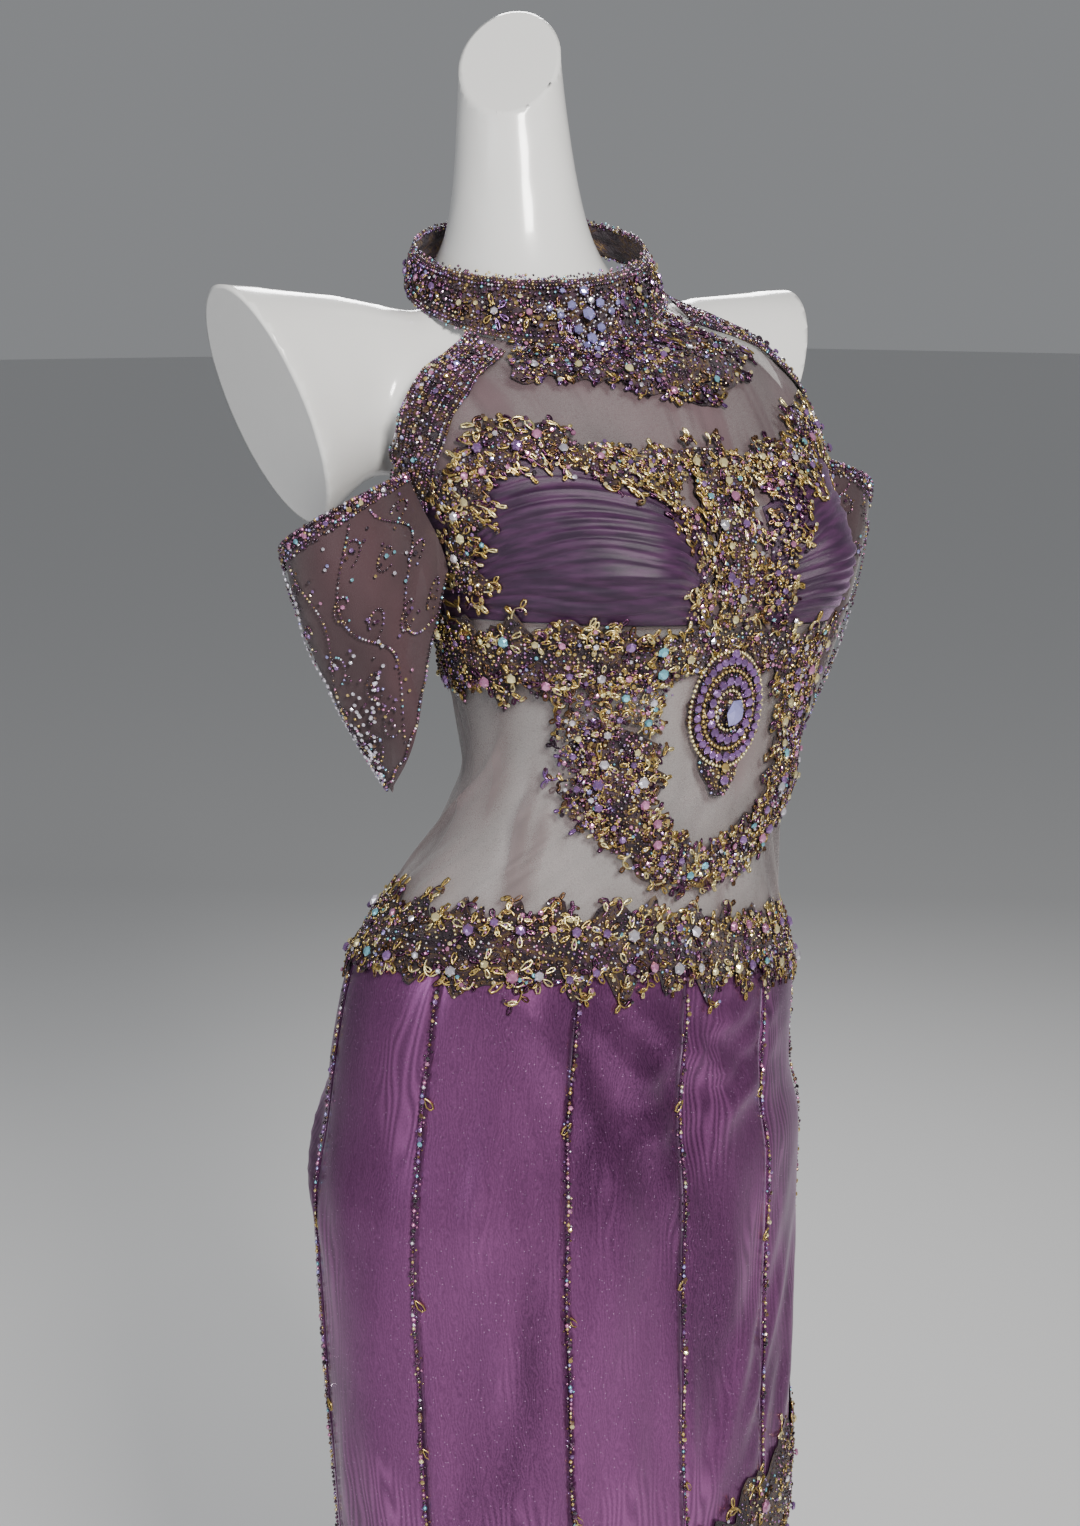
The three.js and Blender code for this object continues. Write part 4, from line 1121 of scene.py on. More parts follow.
def seam_beads():
    """Uneven lines of seeds and stones along the skirt's seams, with a small sprig here and there."""
    steps, half, pitch = 200, 4.0, 3.1
    seams = [first for _, first, _, _, _ in GORES]
    for theta in (*seams, 180, *(-seam for seam in seams[1:])):
        heights = np.linspace(SKIRT_TOP - 20, SEAMS_STOP, steps)
        line, halves = np.full(steps, float(theta)), np.full(steps, half)
        strip = Strip(line, heights, halves, out=1.6, seed=theta, gilt=0.0)
        beads = Beads()
        a = np.arange(4, strip.length - 2, pitch)
        a = a + CHANCE.uniform(-0.5, 0.5, len(a))
        sway = 0.8 * np.sin(a / 19) + 0.5 * noise(a / 6, 0.5, theta)
        sizes = CHANCE.uniform(2.2, 3.5, len(a))
        beads.add(a, sway, size=sizes, length=sizes * CHANCE.uniform(1, 1.35, len(a)), lift=0.3)
        second = CHANCE.random(len(a)) < 0.5
        beads.add(a[second] + 1.5, sway[second] + CHANCE.choice([-2.1, 2.1], int(second.sum())), size=2.0)
        stones = CHANCE.random(len(a)) < 0.16
        beads.add(a[stones], sway[stones] + 0.6, size=3.4, kind=STONE, lift=1)
        for spot in np.arange(70, strip.length - 40, SEAM_SPRIGS):
            spot = spot + CHANCE.uniform(-30, 30)
            loop(beads, spot, 1.0, 9, 0.6 * CHANCE.choice([-1, 1]), "gold")
        strip.make(f"beads_seam_{'back' if theta == 180 else theta}".replace("-", "right_"), beads)


# The bodice

# How far a panel's shell stays inside its node's edges: in degrees at its sides, in millimetres
# at its foot and top
EDGE_TURN = 0.1
EDGE_HIGH = 0.2
CHIFFON_THICK = 0.6


def panel_grid(first, last, foot, top, cols, rows):
    """Angles, heights and the share of the way up, for a panel between two edges."""
    theta = np.linspace(first, last, cols)
    low, high = foot(theta) + EDGE_HIGH, top(theta) - EDGE_HIGH
    t = np.linspace(0, 1, rows)[:, None]
    return np.broadcast_to(theta, (rows, cols)), low + (high - low) * t, t


def level(h):
    """An edge that keeps one height all round."""
    return lambda theta: np.full(np.shape(theta), float(h))


def upper_edge(theta):
    return along(UPPER_EDGE, np.abs(theta))


def cup_edge(theta):
    return along(CUP_EDGE, np.abs(theta))


def midriff():
    """The sheer midriff in three panels, pulled into a few soft folds at its sides."""
    for name, first, last, node in (
        ("midriff_front_net", -SIDE_SEAM, SIDE_SEAM, "midriff_front"),
        ("midriff_back_left_net", SIDE_SEAM, 180, "midriff_back_left"),
        ("midriff_back_right_net", -180, -SIDE_SEAM, "midriff_back_right"),
    ):
        cols, rows = int((last - first) * 0.8), 90
        edges = level(SKIRT_TOP), level(UNDERBUST)
        theta, h, _ = panel_grid(first + EDGE_TURN, last - EDGE_TURN, *edges, cols, rows)
        sweep = h / 13 + np.abs(theta) / 5
        fold = np.clip(noise(sweep, np.abs(theta) / 50, 11), 0, 1) * np.exp(-(((h - 1085) / 75) ** 2))
        out = 1.2 + 4.2 * fold * np.clip(np.abs(theta) / 25, 0, 1)
        cloth(name, skin(theta, h, out), NET_PALE, [node])


def gathers(s, t, seed):
    """Ruched folds across a cup: rounded ridges that fork and fade at their ends."""
    drift = 0.055 * noise(s * 2.2, t * 2, seed) + 0.03 * noise(s * 5, t * 5, seed + 1) + 0.06 * (s - 0.5) ** 2
    phase = (t + drift) * 13
    ridge = 1 - np.abs(2 * (phase - np.floor(phase)) - 1)
    strength = 0.65 + 0.5 * noise(np.floor(phase) * 1.7, s * 3.1, seed + 2)
    fine = 1 - np.abs(2 * ((phase * 2.3 + 0.4) % 1) - 1)
    inside = np.clip(s / 0.1, 0, 1) * np.clip((1 - s) / 0.2, 0, 1)
    inside *= np.clip(t / 0.08, 0, 1) * np.clip((1 - t) / 0.12, 0, 1)
    return (2.7 * strength * ridge**0.75 + 0.6 * fine) * inside


def bust():
    """The gathered cups, the back panels under them and the narrow net between the cups."""
    foot, worn = level(UNDERBUST), ["form_body"]
    inner, outer = CENTRE_PANEL + EDGE_TURN, SIDE_SEAM - EDGE_TURN
    for side, hand in ((-1, "right"), (1, "left")):
        theta, h, t = panel_grid(inner, outer, foot, cup_edge, 56, 110)
        s = (theta - CENTRE_PANEL) / (SIDE_SEAM - CENTRE_PANEL)
        out = 0.9 + gathers(s, t, 20 + side)
        if side < 0:
            theta, h, out = -theta[:, ::-1], h[:, ::-1], out[:, ::-1]
        name, points = f"cup_{hand}", skin(theta, h, out)
        cloth(name + "_chiffon", points, CHIFFON, [name], CHIFFON_THICK)
        first, last = SIDE_SEAM + EDGE_TURN, 180 - EDGE_TURN
        first, last = (first, last) if side > 0 else (-last, -first)
        theta, h, _ = panel_grid(first, last, foot, upper_edge, 50, 24)
        name, points = f"back_{hand}", skin(theta, h, 1.2 + 0.5 * noise(theta / 20, h / 9, 31))
        cloth(name + "_chiffon", points, CHIFFON, [name], CHIFFON_THICK)
    theta, h, _ = panel_grid(-CENTRE_PANEL + EDGE_TURN, CENTRE_PANEL - EDGE_TURN, foot, cup_edge, 12, 24)
    cloth("centre_front_net", skin(theta, h, 1.0), NET_YOKE, ["centre_front"])


def yoke():
    """The sheer yoke from the cups up to the collar."""
    theta, h, t = panel_grid(-SIDE_SEAM + EDGE_TURN, SIDE_SEAM - EDGE_TURN, cup_edge, upper_edge, 120, 40)
    fold = np.clip(noise(theta / 9 + t * 2.5, t * 1.5, 41), 0, 1) ** 1.5
    out = 0.9 + 1.6 * fold * np.sin(np.pi * t)
    cloth("yoke_net", skin(theta, h, out), NET_YOKE, ["yoke"])


# The angle at which what goes all round the dress starts and ends, beside the centre back
ALL_ROUND = 179.8
COLLAR_FLOWERS = 24
# Rows of seeds round the collar, by their place across it, and the loose fringes past its edges with
# their sway
COLLAR_ROWS = (-13.5, -11.4, 10.2, 12, 13.8)
FRINGE_ROWS = ((14.8, 1.6), (15.6, 2.0), (-14.6, 1.2))
# The jewel cluster at the collar's front: how far its middle lies along and across from the centre
# front, and across, up and size of each stone
CLUSTER_SHIFT = (-16, -4)
CLUSTER = [
    (0, 1, 8.5), (-9, 5, 6), (9, 5, 6), (-7, -5, 6), (7, -5, 6), (0, -9.5, 7), (-16, 1, 5), (16, 1, 5),
    (0, 11, 6), (-4, -16, 5), (5, -15.5, 5), (0, -21, 4.5), (-22, 4, 4), (22, 4, 4),
]


def collar():
    """The standing collar: a padded band that is beaded all over, with a thick fringe of seeds."""
    lines, rows = 190, 12
    theta = np.linspace(-ALL_ROUND, ALL_ROUND, lines)
    t = np.linspace(0, 1, rows)[:, None]
    h = np.broadcast_to(COLLAR_FOOT + (COLLAR_TOP - COLLAR_FOOT) * t, (rows, lines))
    roll = 3.0 + 1.3 * np.cos(np.pi * (2 * t - 1)) ** 2 + 0.3 * noise(theta / 2, t * 5, 51)
    edges = level(COLLAR_FOOT + 2), level(COLLAR_TOP - 2)
    strip = girdle_strip(-ALL_ROUND, ALL_ROUND, *edges, out=4.4, seed=52, ragged=0.0, gilt=-0.7)
    beads = Beads(DARK_TONES)
    for i in range(COLLAR_FLOWERS):
        a = (i + 0.5) * strip.length / COLLAR_FLOWERS
        radius = CHANCE.uniform(5.5, 7.5)
        flower(beads, a + CHANCE.uniform(-2, 2), CHANCE.uniform(-3, 3), radius, 6, CHANCE.uniform(0, 1))
    ring = turns_round(9)
    for across, up, size in CLUSTER:
        a, b = strip.length / 2 + CLUSTER_SHIFT[0] + across, CLUSTER_SHIFT[1] + up
        beads.add(a, b, size=size, kind=STONE, tint=TINT_INDEX["lilac"], lift=3.2)
        a, b = a + size * 0.62 * np.cos(ring), b + size * 0.62 * np.sin(ring)
        beads.add(a, b, size=1.8, tint=TINT_INDEX["silver"], lift=2.4)
    for edge in COLLAR_ROWS:
        a = np.linspace(0, strip.length, 300)
        beads.line(a, edge + 0.5 * noise(a / 4, edge), 2.1, size=2.2, lift=0.4)
    beads = strip.fill(beads, 2.4, stones=0.2)
    fringe = Beads()
    for edge, sway in FRINGE_ROWS:
        a = np.arange(0, strip.length, 2.0)
        a = a + CHANCE.uniform(-0.9, 0.9, len(a))
        fringe.add(a, edge + CHANCE.uniform(-sway, sway, len(a)), size=2.2)
    beads.rows += fringe.rows
    made = strip.make("beads_collar", beads)
    points = skin(np.broadcast_to(theta, h.shape), h, roll)
    cloth("collar_band", points, EMBROIDERY, ["collar"], extras=made)
    for name in ("lower", "upper"):
        node = frame["nodes"][f"collar_button_{name}"]
        node.data.materials.clear()
        node.data.materials.append(CHIFFON)


# Rows of seeds on the armhole bands, by their share of the half width, and the pitch of the stones
BAND_ROWS = (0.96, 0.8, 0.4, -0.4, -0.8, -0.96)
BAND_STONES = 9


def armhole_bands():
    """The beaded bands round the armholes, between their outer and inner edges."""
    keys = np.linspace(0, 1, len(BAND))
    t = np.linspace(0, 1, 200)
    outer_theta, outer_h, inner_theta, inner_h = (smooth(t, keys, [row[i] for row in BAND]) for i in range(4))
    theta, h = (outer_theta + inner_theta) / 2, (outer_h + inner_h) / 2
    apart = np.linalg.norm(base(outer_theta, outer_h) - base(inner_theta, inner_h), axis=1)
    for side, hand in ((-1, "right"), (1, "left")):
        strip = Strip(theta, h, apart / 2, side=side, out=4.0, seed=60 + side, ragged=0.03, gilt=-0.8)
        beads = Beads()
        a = np.linspace(0, strip.length, 400)
        half = strip.at(a, strip.half)
        for share in BAND_ROWS:
            beads.line(a, half * share + 0.4 * noise(a / 5, share * 9), 2.4, size=2.2, lift=0.4)
        spots = np.arange(8, strip.length, BAND_STONES)
        sway = CHANCE.uniform(-2, 2, len(spots))
        beads.add(spots, sway, size=CHANCE.uniform(3, 4.4, len(spots)), kind=STONE, lift=0.9)
        beads = strip.fill(beads, 2.4, stones=0.2)
        made = strip.make(f"beads_armhole_{hand}", beads)
        strip.ground(f"armhole_band_{hand}_ground", [f"armhole_band_{hand}"], ["yoke_net"], 3.0, made)


# Sprigs that join the appliques where their grounds stop: the sides that they grow on, how much
# gold they hold, how far they stand out, and their paths by angle, height and half width.
BRIDGES = {
    "cup_to_centre": ((-1, 1), 0.3, 4.4, [
        (24, 1328, 11), (15, 1331, 12), (5, 1326, 12),
    ]),
    "centre_side": ((-1, 1), 0.5, 4.6, [
        (15, 1340, 8), (16, 1312, 11), (13, 1288, 11), (11, 1262, 11), (13, 1232, 13),
    ]),
    "lobe_side": ((-1, 1), 0.0, 4.2, [
        (44, 1184, 10), (49, 1156, 12), (47, 1126, 12), (36, 1096, 9),
    ]),
    "lobe_top": ((-1, 1), 0.1, 4.4, [
        (27, 1196, 17), (29, 1182, 20), (31, 1166, 21),
    ]),
    "lobes_joined": ((1,), 0.8, 4.4, [
        (-13, 1080, 12), (-6, 1068, 14), (0, 1064, 15), (6, 1068, 14), (13, 1080, 12),
    ]),
    "centre_foot": ((1,), 0.4, 4.6, [
        (0, 1264, 12), (0, 1248, 16), (0, 1232, 14),
    ]),
    "neck_top": ((1,), -0.5, 4.2, [
        (-44, 1424, 6), (-20, 1425, 7), (6, 1424, 8), (30, 1425, 7), (46, 1424, 6),
    ]),
}


def bridges():
    """Beads without a ground of their own, which carry the appliques on into each other."""
    for name, (sides, gilt, out, rows) in BRIDGES.items():
        for side in sides:
            strip = path_strip(rows, side, out=out, seed=100 + side, ragged=0.25, period=22, gilt=gilt)
            beads = strip.fill(strip.motifs(12, 0.9), 3.0)
            strip.make(f"beads_{name}_{'right' if side < 0 else 'left'}", beads)


# The heights of the neck's and the waist's appliques, and the waist's in three lengths: name, first
# and last angle, and the pitch of its seeds
NECK_TRIM_TOP = 1423
WAIST_TRIM_FOOT = 980
WAIST_TRIM_TOP = 1036
WAIST_TRIM = [
    ("front", -94.8, 94.8, 2.9), ("back_left", 95.2, ALL_ROUND, 3.4), ("back_right", -ALL_ROUND, -95.2, 3.4),
]


def neck_foot(theta):
    """The foot of the neck's applique, which dips at its middle."""
    return 1396 - 30 * np.exp(-(((theta - 6) / 13) ** 2))


def rib_foot(theta):
    """The foot of the underbust applique, which rises over the medallion."""
    return 1182 + 6 * np.cos(2 * np.radians(theta)) + 26 * np.exp(-((theta / 13) ** 2))


def knee_swing(theta):
    """How high the knee's slanting band stands, from -1 to 1."""
    return np.cos(np.radians(theta - 60))


def knee_foot(theta):
    return 478 + 52 * knee_swing(theta)


def knee_top(theta):
    return 562 + 72 * knee_swing(theta)


def appliques():
    """The beaded trims with a ground, from the cups down to the knee."""
    for side, hand in ((-1, "right"), (1, "left")):
        strip = path_strip(CUP_TRIM, side, out=4.0, seed=70 + side, ragged=0.2, period=26)
        trimmed(f"cup_applique_{hand}", strip, ["yoke_net"], 15, ends=(True, True))
        strip = path_strip(MIDRIFF_TRIM, side, out=4.2, seed=74 + side, ragged=0.2, period=28)
        trimmed(f"midriff_applique_{hand}", strip, ["midriff_front_net"], 15, ends=(True, True))
    strip = path_strip(CENTRE_TRIM, out=5.2, seed=80, ragged=0.14, period=30)
    trimmed("centre_applique", strip, ["centre_front_net"], 15, 1.05, ends=(True, False))
    strip = girdle_strip(-42, 42, neck_foot, level(NECK_TRIM_TOP), out=4.0, seed=82, gilt=-0.5)
    trimmed("neck_applique", strip, ["yoke_net"], 15, 0.85)
    strip = girdle_strip(-116, 116, rib_foot, level(UNDERBUST), out=4.2, seed=84, ragged=0.2, period=31)
    trimmed("underbust_applique", strip, ["midriff_front_net"], 18, 1.0, 2.8, ends=(True, True))
    for name, first, last, seeds in WAIST_TRIM:
        edges = level(WAIST_TRIM_FOOT), level(WAIST_TRIM_TOP)
        strip = girdle_strip(first, last, *edges, out=4.0, seed=86, ragged=0.2, period=33)
        trimmed(f"waist_applique_{name}", strip, ["midriff_front_net"], 18, 1.1, seeds)
    for hand, first, last in (("left", 0.2, ALL_ROUND), ("right", -ALL_ROUND, -0.2)):
        strip = girdle_strip(first, last, knee_foot, knee_top, out=4.4, seed=90, ragged=0.12, period=46)
        trimmed(f"knee_applique_{hand}", strip, ["gore_front_left_satin"], 34, 1.3, 4.2, step=4)


# The medallion's outline: theta, h and half width, from its crown down to its foot
MEDALLION = [
    (0, 1214, 5), (0, 1205, 16), (0, 1192, 29), (0, 1174, 34),
    (0, 1154, 30), (0, 1142, 21), (0, 1130, 16), (0, 1116, 6),
]
# How far down from its crown the big stone lies, and the small ones in line with it
BIG_STONE = 40
DROPS = ((4, "amethyst"), (70, "amethyst"), (78, "gold"), (86, "amethyst"))
# The rings of beads round the medallion's stone: radius, colour and size
RINGS = [
    (10.2, "gold_and_painted_glint", 2.8), (15.2, "amethyst", 6.2), (20.2, "gold", 3.2), (25.2, "amethyst", 5.6),
    (29.8, "gold_and_painted_glint", 3.0),
]


def medallion():
    """The oval jewel: a gold rim round violet stones, on a beaded foot and under a small crown."""
    strip = path_strip(MEDALLION, out=4.6, seed=95, ragged=0.06)
    beads = Beads()
    beads.add(BIG_STONE, 0, size=13, length=19, kind=STONE, tint=TINT_INDEX["lilac"], lift=2.2)
    for radius, tone, size in RINGS:
        ring = turns_round(round(2 * math.pi * radius * 1.1 / size))
        kind = STONE if tone == "amethyst" else SEED
        x, y = BIG_STONE + radius * 1.25 * np.cos(ring), radius * 1.12 * np.sin(ring)
        beads.add(x, y, size=size, kind=kind, tint=TINT_INDEX[tone], lift=0.9)
    ring = turns_round(10)
    for a, tone in DROPS:
        beads.add(a, 0, size=6.5, kind=STONE, tint=TINT_INDEX[tone], lift=1)
        beads.add(a + 4.8 * np.cos(ring), 4.8 * np.sin(ring), size=2, tint=TINT_INDEX["gold"])
    beads = strip.fill(beads, 2.4)
    made = strip.make("beads_medallion", beads)
    strip.ground("medallion_ground", ["medallion"], ["midriff_front_net"], 2.0, made)


# The sleeves


def sleeve_point(side, s, t):
    """A sleeve's middle surface: s runs round from the front end to the back, t from top to foot."""
    front, back = (
        skin(side * SLEEVE[end], SLEEVE[top] + (SLEEVE["sewn"] - SLEEVE[top]) * t, SLEEVE["standOff"])
        for end, top in (("front", "frontTop"), ("back", "backTop"))
    )
    turned = 0.5 - 0.5 * np.cos(np.pi * s)
    bow = np.sin(np.pi * s)
    spot = front + (back - front) * turned[..., None]
    reach = SLEEVE["reachTop"] + (SLEEVE["reachFoot"] - SLEEVE["reachTop"]) * t**1.8
    spot[..., 0] += side * reach * bow
    spot[..., 1] += -SLEEVE["swell"] * (1 - t) * np.sin(2 * np.pi * s) + 4 * t * np.sin(6 * np.pi * s) * bow
    spot[..., 2] -= SLEEVE["sag"] * (1 - t) * bow + SLEEVE["point"] * t * bow
    return spot


def sleeve_place(side, s, t, out):
    """Places and outward directions on a sleeve, moved out by millimetres."""
    step = 0.01
    round_ = sleeve_point(side, np.clip(s + step, 0, 1), t) - sleeve_point(side, np.clip(s - step, 0, 1), t)
    up = sleeve_point(side, s, np.clip(t - step, 0, 1)) - sleeve_point(side, s, np.clip(t + step, 0, 1))
    outward = side * np.cross(round_, up)
    outward /= np.linalg.norm(outward, axis=-1, keepdims=True)
    return sleeve_point(side, s, t) + outward * np.asarray(out)[..., None], outward


# A sleeve's rim: rows of seeds by the share of the way down, with their size. Then how many seeds and
# stones each row of the rim and the foot has, how many scrolls run down, and how many beads crowd
# to the point
SLEEVE_RIM = ((0.0, 2.8), (0.022, 2.5), (0.045, 2.4), (0.07, 2.2))
RIM_SEEDS = 120
RIM_STONES = 26
FOOT_SEEDS = 150
SCROLLS = 6
CROWD = 150
LOOSE_STONES = 120


def sleeve_beads(side, hand):
    """The sleeve's embroidery: a thick rim, scrolls of seeds, and stones that crowd to its point."""
    spots = []

    def put(s, t, size, tint=MIXED, kind=SEED):
        s = np.atleast_1d(s)
        spots.append(np.stack(np.broadcast_arrays(s, t, size, tint, kind), 1).astype(float))

    for edge, size in SLEEVE_RIM:
        s = np.linspace(0.01, 0.99, RIM_SEEDS) + CHANCE.uniform(-0.002, 0.002, RIM_SEEDS)
        put(s, edge + CHANCE.uniform(-0.008, 0.008, RIM_SEEDS), size)
    put(np.linspace(0.02, 0.98, RIM_STONES), 0.035, 3.6, kind=STONE)
    s = np.linspace(0.01, 0.99, FOOT_SEEDS)
    put(s, 0.985 - 0.015 * np.abs(np.sin(s * 40)), 2.2)
    for stem in np.linspace(0.1, 0.9, SCROLLS):
        run = np.linspace(0, 1, 60)
        put(stem + 0.05 * np.sin(run * 8 + stem * 20), 0.1 + 0.85 * run, 1.9)
        for foot in np.arange(0.2, 0.95, 0.16):
            turn = CHANCE.choice([-1, 1])
            curl = np.linspace(0, 4.6, 16)
            shrink = 1 - curl / 7
            spot = stem + turn * 0.045 * shrink * np.sin(curl) + 0.03 * turn
            put(spot, foot + 0.06 * shrink * np.cos(curl), 1.8)
            put(stem + 0.035 * turn, foot, 3.0, kind=STONE)
    near = CHANCE.random(CROWD) ** 0.5
    sway = CHANCE.uniform(-0.34, 0.34, CROWD) * (1.15 - near)
    put(0.5 + sway, 0.45 + 0.52 * near, 2.6, TINT_INDEX["silver"], STONE)
    sway = CHANCE.uniform(-0.36, 0.36, CROWD) * (1.15 - near)
    put(0.5 + sway, 0.5 + 0.48 * near, 2.4)
    edge = np.linspace(0.1, 0.97, 34)
    put(0.5 + 0.03 * np.sin(edge * 20), edge, 3.2, TINT_INDEX["silver"], STONE)
    s = CHANCE.uniform(0.05, 0.95, LOOSE_STONES)
    put(s, CHANCE.uniform(0.1, 0.9, LOOSE_STONES), 2.2, kind=STONE)
    rows = np.concatenate(spots)
    s, t = np.clip(rows[:, 0], 0.005, 0.995), np.clip(rows[:, 1], 0, 0.99)
    places, outward = sleeve_place(side, s, t, 1.2 + rows[:, 2] * 0.3)
    tints = rows[:, 3].astype(int)
    mixed = tints == MIXED
    tints[mixed] = CHANCE.choice(len(TINTS), int(mixed.sum()), p=TINT_SHARES[1])
    made = []
    for kind, label in enumerate(KINDS):
        these = rows[:, 4] == kind
        sizes = np.repeat(rows[these, 2:3], 3, 1)
        turns = CHANCE.uniform(0, 3, int(these.sum()))
        name, colours = f"beads_sleeve_{hand}_{label}s", TINT_COLOURS[tints[these]]
        made.append(scatter(name, label, places[these], outward[these], turns, sizes, colours))
    return made


def sleeves():
    """The two drop sleeves of beaded net."""
    for side, hand in ((-1, "right"), (1, "left")):
        s, t = np.meshgrid(np.linspace(0.0, 1.0, 60), np.linspace(1, 0, 44))
        ripple = 2.2 * noise(s * 9, t * 1.5, 101) * np.sin(np.pi * s)
        points, _ = sleeve_place(side, s, t, ripple)
        if side < 0:
            points = points[:, ::-1]
        made = sleeve_beads(side, hand)
        cloth(f"sleeve_{hand}_net", points, NET_SLEEVE, [f"sleeve_{hand}"], 0, made)


# The form and its stand


def loft(name, rings):
    """A closed object through rings of points in millimetres."""
    count = rings.shape[1]
    faces = []
    for j in range(len(rings) - 1):
        for i in range(count):
            k = (i + 1) % count
            faces.append((j * count + i, j * count + k, (j + 1) * count + k, (j + 1) * count + i))
    faces.append(tuple(range(count))[::-1])
    faces.append(tuple((len(rings) - 1) * count + i for i in range(count)))
    mesh = bpy.data.meshes.new(name)
    mesh.from_pydata((rings.reshape(-1, 3) * MM).tolist(), [], faces)
    return link(bpy.data.objects.new(name, mesh))


# Heights of the rings where the neck runs on before it is cut
NECK_ON = (1575.0, 1605.0, 1640.0)
# How far the shoulders run on before they are cut, the width of a cut's soft rim, and how far from
# its middle each cut reaches
SPARE = 26
RIM = 2.4
NECK_REACH = 120
SHOULDER_REACH = 92
CUTTER_DEEP = 200
# How finely the form's joined parts are meshed anew, and in how many steps their joints are smoothed
FORM_VOXEL = 5
FORM_RELAX = 12


def cutter(spot, outward, reach):
    """A round block whose flat end lies on a cut, with its middle at a place in millimetres."""
    work = bmesh.new()
    turn = outward.to_track_quat("Z", "Y").to_matrix().to_4x4()
    middle = Matrix.Translation((spot + outward * CUTTER_DEEP / 2) * MM) @ turn
    size = {"radius1": reach * MM, "radius2": reach * MM, "depth": CUTTER_DEEP * MM, "matrix": middle}
    bmesh.ops.create_cone(work, cap_ends=True, segments=96, **size)
    mesh = bpy.data.meshes.new("cutter")
    work.to_mesh(mesh)
    work.free()
    return link(bpy.data.objects.new("cutter", mesh))


def soften_cuts(mesh, cuts):
    """Shades a mesh smooth, and gives each flat cut a narrow rounded rim."""
    work = bmesh.new()
    work.from_mesh(mesh)
    for face in work.faces:
        face.smooth = True
    for spot, outward, _ in cuts:
        facing_cut = [face for face in work.faces if face.normal.dot(outward) > 0.999]
        flat = [
            face for face in facing_cut
            if abs((face.calc_center_median() - spot * MM).dot(outward)) < 0.05 * MM
        ]
        bmesh.ops.inset_region(work, faces=flat, thickness=RIM * MM, use_even_offset=True)
        for vert in {vert for face in flat for vert in face.verts}:
            vert.co += outward * RIM * 0.35 * MM
        for face in flat:
            face.smooth = False
    work.to_mesh(mesh)
    work.free()


def form():
    """The form's body, neck and shoulders as one smooth shell with three flat cuts."""
    count, body_rings, neck_rings, shoulder_rings = 72, 90, 14, 28
    turns = np.arange(count) * 360 / count
    heights = np.linspace(FORM_BODY[0][0], FORM_BODY[-1][0], body_rings)
    rings = [skin(turns, np.full(count, h), -float(along(FORM_BODY, h))) for h in heights]
    c, s = np.cos(np.radians(turns)), np.sin(np.radians(turns))
    for h in np.linspace(NECK[0][0], NECK[-1][0], neck_rings):
        r, dx, dy, tilt = (float(along(NECK, h, 0, i)) for i in (1, 2, 3, 4))
        rings.append(np.stack([dx + r * s, dy - r * c, h - tilt * r * c], 1))
    cut = NECK_CUT
    azimuth, steep = math.radians(cut["azimuth"]), 1 / math.tan(math.radians(cut["rise"]))
    for h in NECK_ON:
        rings.append(np.stack([cut["dx"] + cut["r"] * s, cut["dy"] - cut["r"] * c, np.full(count, h)], 1))
    body = loft("form_shell", np.array(rings))
    for side in (-1, 1):
        stub = []
        for place in np.linspace(SHOULDER[0][0], SHOULDER[-1][0] + SPARE, shoulder_rings):
            dy, z, deep, high, lean = (float(along(SHOULDER, place, 0, i)) for i in (1, 2, 3, 4, 5))
            rise = high * c
            stub.append(np.stack([
                SHOULDER_SHIFT[0] + side * (place + lean * rise),
                dy + side * (SHOULDER_SHIFT[1] - deep * s),
                z + rise,
            ], 1))
        part = loft(f"stub_{side}", np.array(stub))
        join = body.modifiers.new("join", "BOOLEAN")
        join.operation = "UNION"
        join.object = part
    remesh = body.modifiers.new("even", "REMESH")
    remesh.mode = "VOXEL"
    remesh.voxel_size = FORM_VOXEL * MM
    relax = body.modifiers.new("relax", "SMOOTH")
    relax.factor = 0.5
    relax.iterations = FORM_RELAX
    outward = (steep * math.sin(azimuth), -steep * math.cos(azimuth), 1)
    cuts = [(Vector((cut["dx"], cut["dy"], cut["h"])), Vector(outward).normalized(), NECK_REACH)]
    reach, dy, z, _, _, lean = SHOULDER[-1]
    for side in (-1, 1):
        spot = (SHOULDER_SHIFT[0] + side * reach, dy + side * SHOULDER_SHIFT[1], z)
        cuts.append((Vector(spot), Vector((side, 0, -lean)).normalized(), SHOULDER_REACH))
    for spot, outward, reach in cuts:
        slice_ = body.modifiers.new("slice", "BOOLEAN")
        slice_.operation = "DIFFERENCE"
        slice_.object = cutter(spot, outward, reach)
    graph = bpy.context.evaluated_depsgraph_get()
    made = bpy.data.meshes.new_from_object(body.evaluated_get(graph))
    for obj in [o for o in bpy.data.objects if o.name.startswith(("form_shell", "stub_", "cutter"))]:
        bpy.data.objects.remove(obj)
    soften_cuts(made, cuts)
    made.materials.clear()
    made.materials.append(FORM)
    shell = link(bpy.data.objects.new("form_smooth", made))
    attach(shell, "root")
    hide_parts("form_body")
    for name in ("stand_base", "stand_pole"):
        node = frame["nodes"][name]
        node.data.materials.clear()
        node.data.materials.append(STEEL)


# The camera, the light and the floor

# The camera's place, worked out from the photograph: its azimuth from the front, its distance from
# the form's axis, its height and its tilt, and a focal length in the photograph's own pixels.
CAMERA = {"azimuth": -38, "distance": 1330, "side": -20, "height": 1420, "down": 12.5, "focal": 2030}
PHOTO_HIGH = 1526
SENSOR = 36


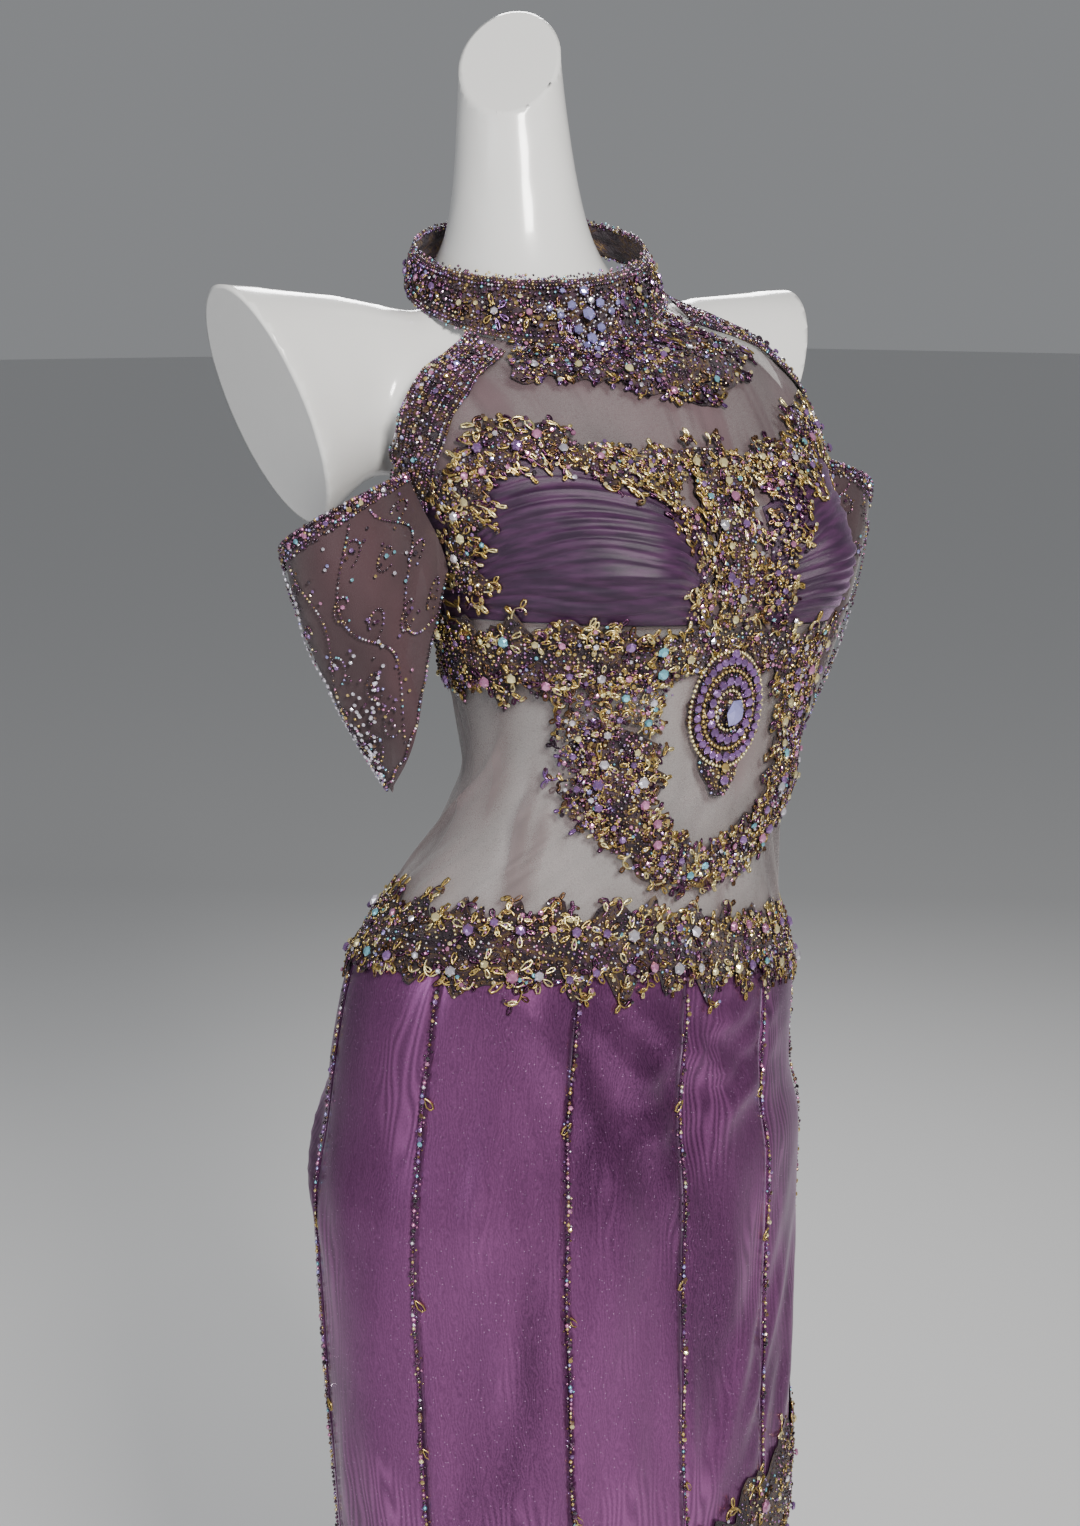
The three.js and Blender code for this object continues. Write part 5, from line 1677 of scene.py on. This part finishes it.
def camera():
    """A camera at the photograph's viewing angle."""
    data = bpy.data.cameras.new("camera")
    data.sensor_width = SENSOR
    data.lens = SENSOR * CAMERA["focal"] / PHOTO_HIGH
    obj = link(bpy.data.objects.new("camera", data))
    turn = math.radians(CAMERA["azimuth"])
    away = Vector((math.sin(turn), -math.cos(turn), 0)) * CAMERA["distance"]
    aside = Vector((math.cos(turn), math.sin(turn), 0)) * CAMERA["side"]
    obj.location = (away + aside + Vector((0, 0, CAMERA["height"]))) * MM
    obj.rotation_euler = (math.radians(90 - CAMERA["down"]), 0, turn)
    bpy.context.scene.camera = obj


def lamp(name, place, aim, power, size, colour):
    data = bpy.data.lights.new(name, "AREA")
    data.energy, data.size, data.color = power, size, colour
    obj = link(bpy.data.objects.new(name, data))
    obj.location = place
    obj.rotation_euler = (Vector((0, 0, aim)) - Vector(place)).to_track_quat("-Z", "Y").to_euler()


# Metres from the middle of the floor to its edges
FLOOR = 60
# The soft lamps: name, place, the height aimed at, watts, size in metres and colour
LAMPS = [
    ("key", (-0.7, -2.2, 2.4), 1.1, 96, 0.6, (1, 0.97, 0.93)),
    ("fill", (-2.2, -0.6, 1.5), 1.0, 12, 1.2, (0.93, 0.95, 1)),
    ("rim", (1.4, 1.6, 2.4), 1.1, 40, 0.9, (1, 1, 1)),
]


def studio():
    mesh = bpy.data.meshes.new("floor")
    corners = [(x * FLOOR, y * FLOOR, 0) for x, y in ((-1, -1), (1, -1), (1, 1), (-1, 1))]
    mesh.from_pydata(corners, [], [(0, 1, 2, 3)])
    look = Look("floor", Roughness=0.8)
    look.shader.inputs["Base Color"].default_value = (0.72, 0.72, 0.72, 1)
    mesh.materials.append(look.material)
    link(bpy.data.objects.new("floor", mesh))
    world = bpy.data.worlds.new("studio")
    world.use_nodes = True
    sky = world.node_tree.nodes["Background"].inputs
    sky["Color"].default_value = (0.8, 0.82, 0.85, 1)
    sky["Strength"].default_value = 0.3
    bpy.context.scene.world = world
    for row in LAMPS:
        lamp(*row)


# The dress, the form and the studio, in the order in which their beads are drawn at random

skirt()
seam_beads()
midriff()
bust()
yoke()
collar()
armhole_bands()
appliques()
bridges()
medallion()
sleeves()
form()
camera()
studio()
for piece in (bead_object, crystal_object):
    bpy.data.objects.remove(piece)
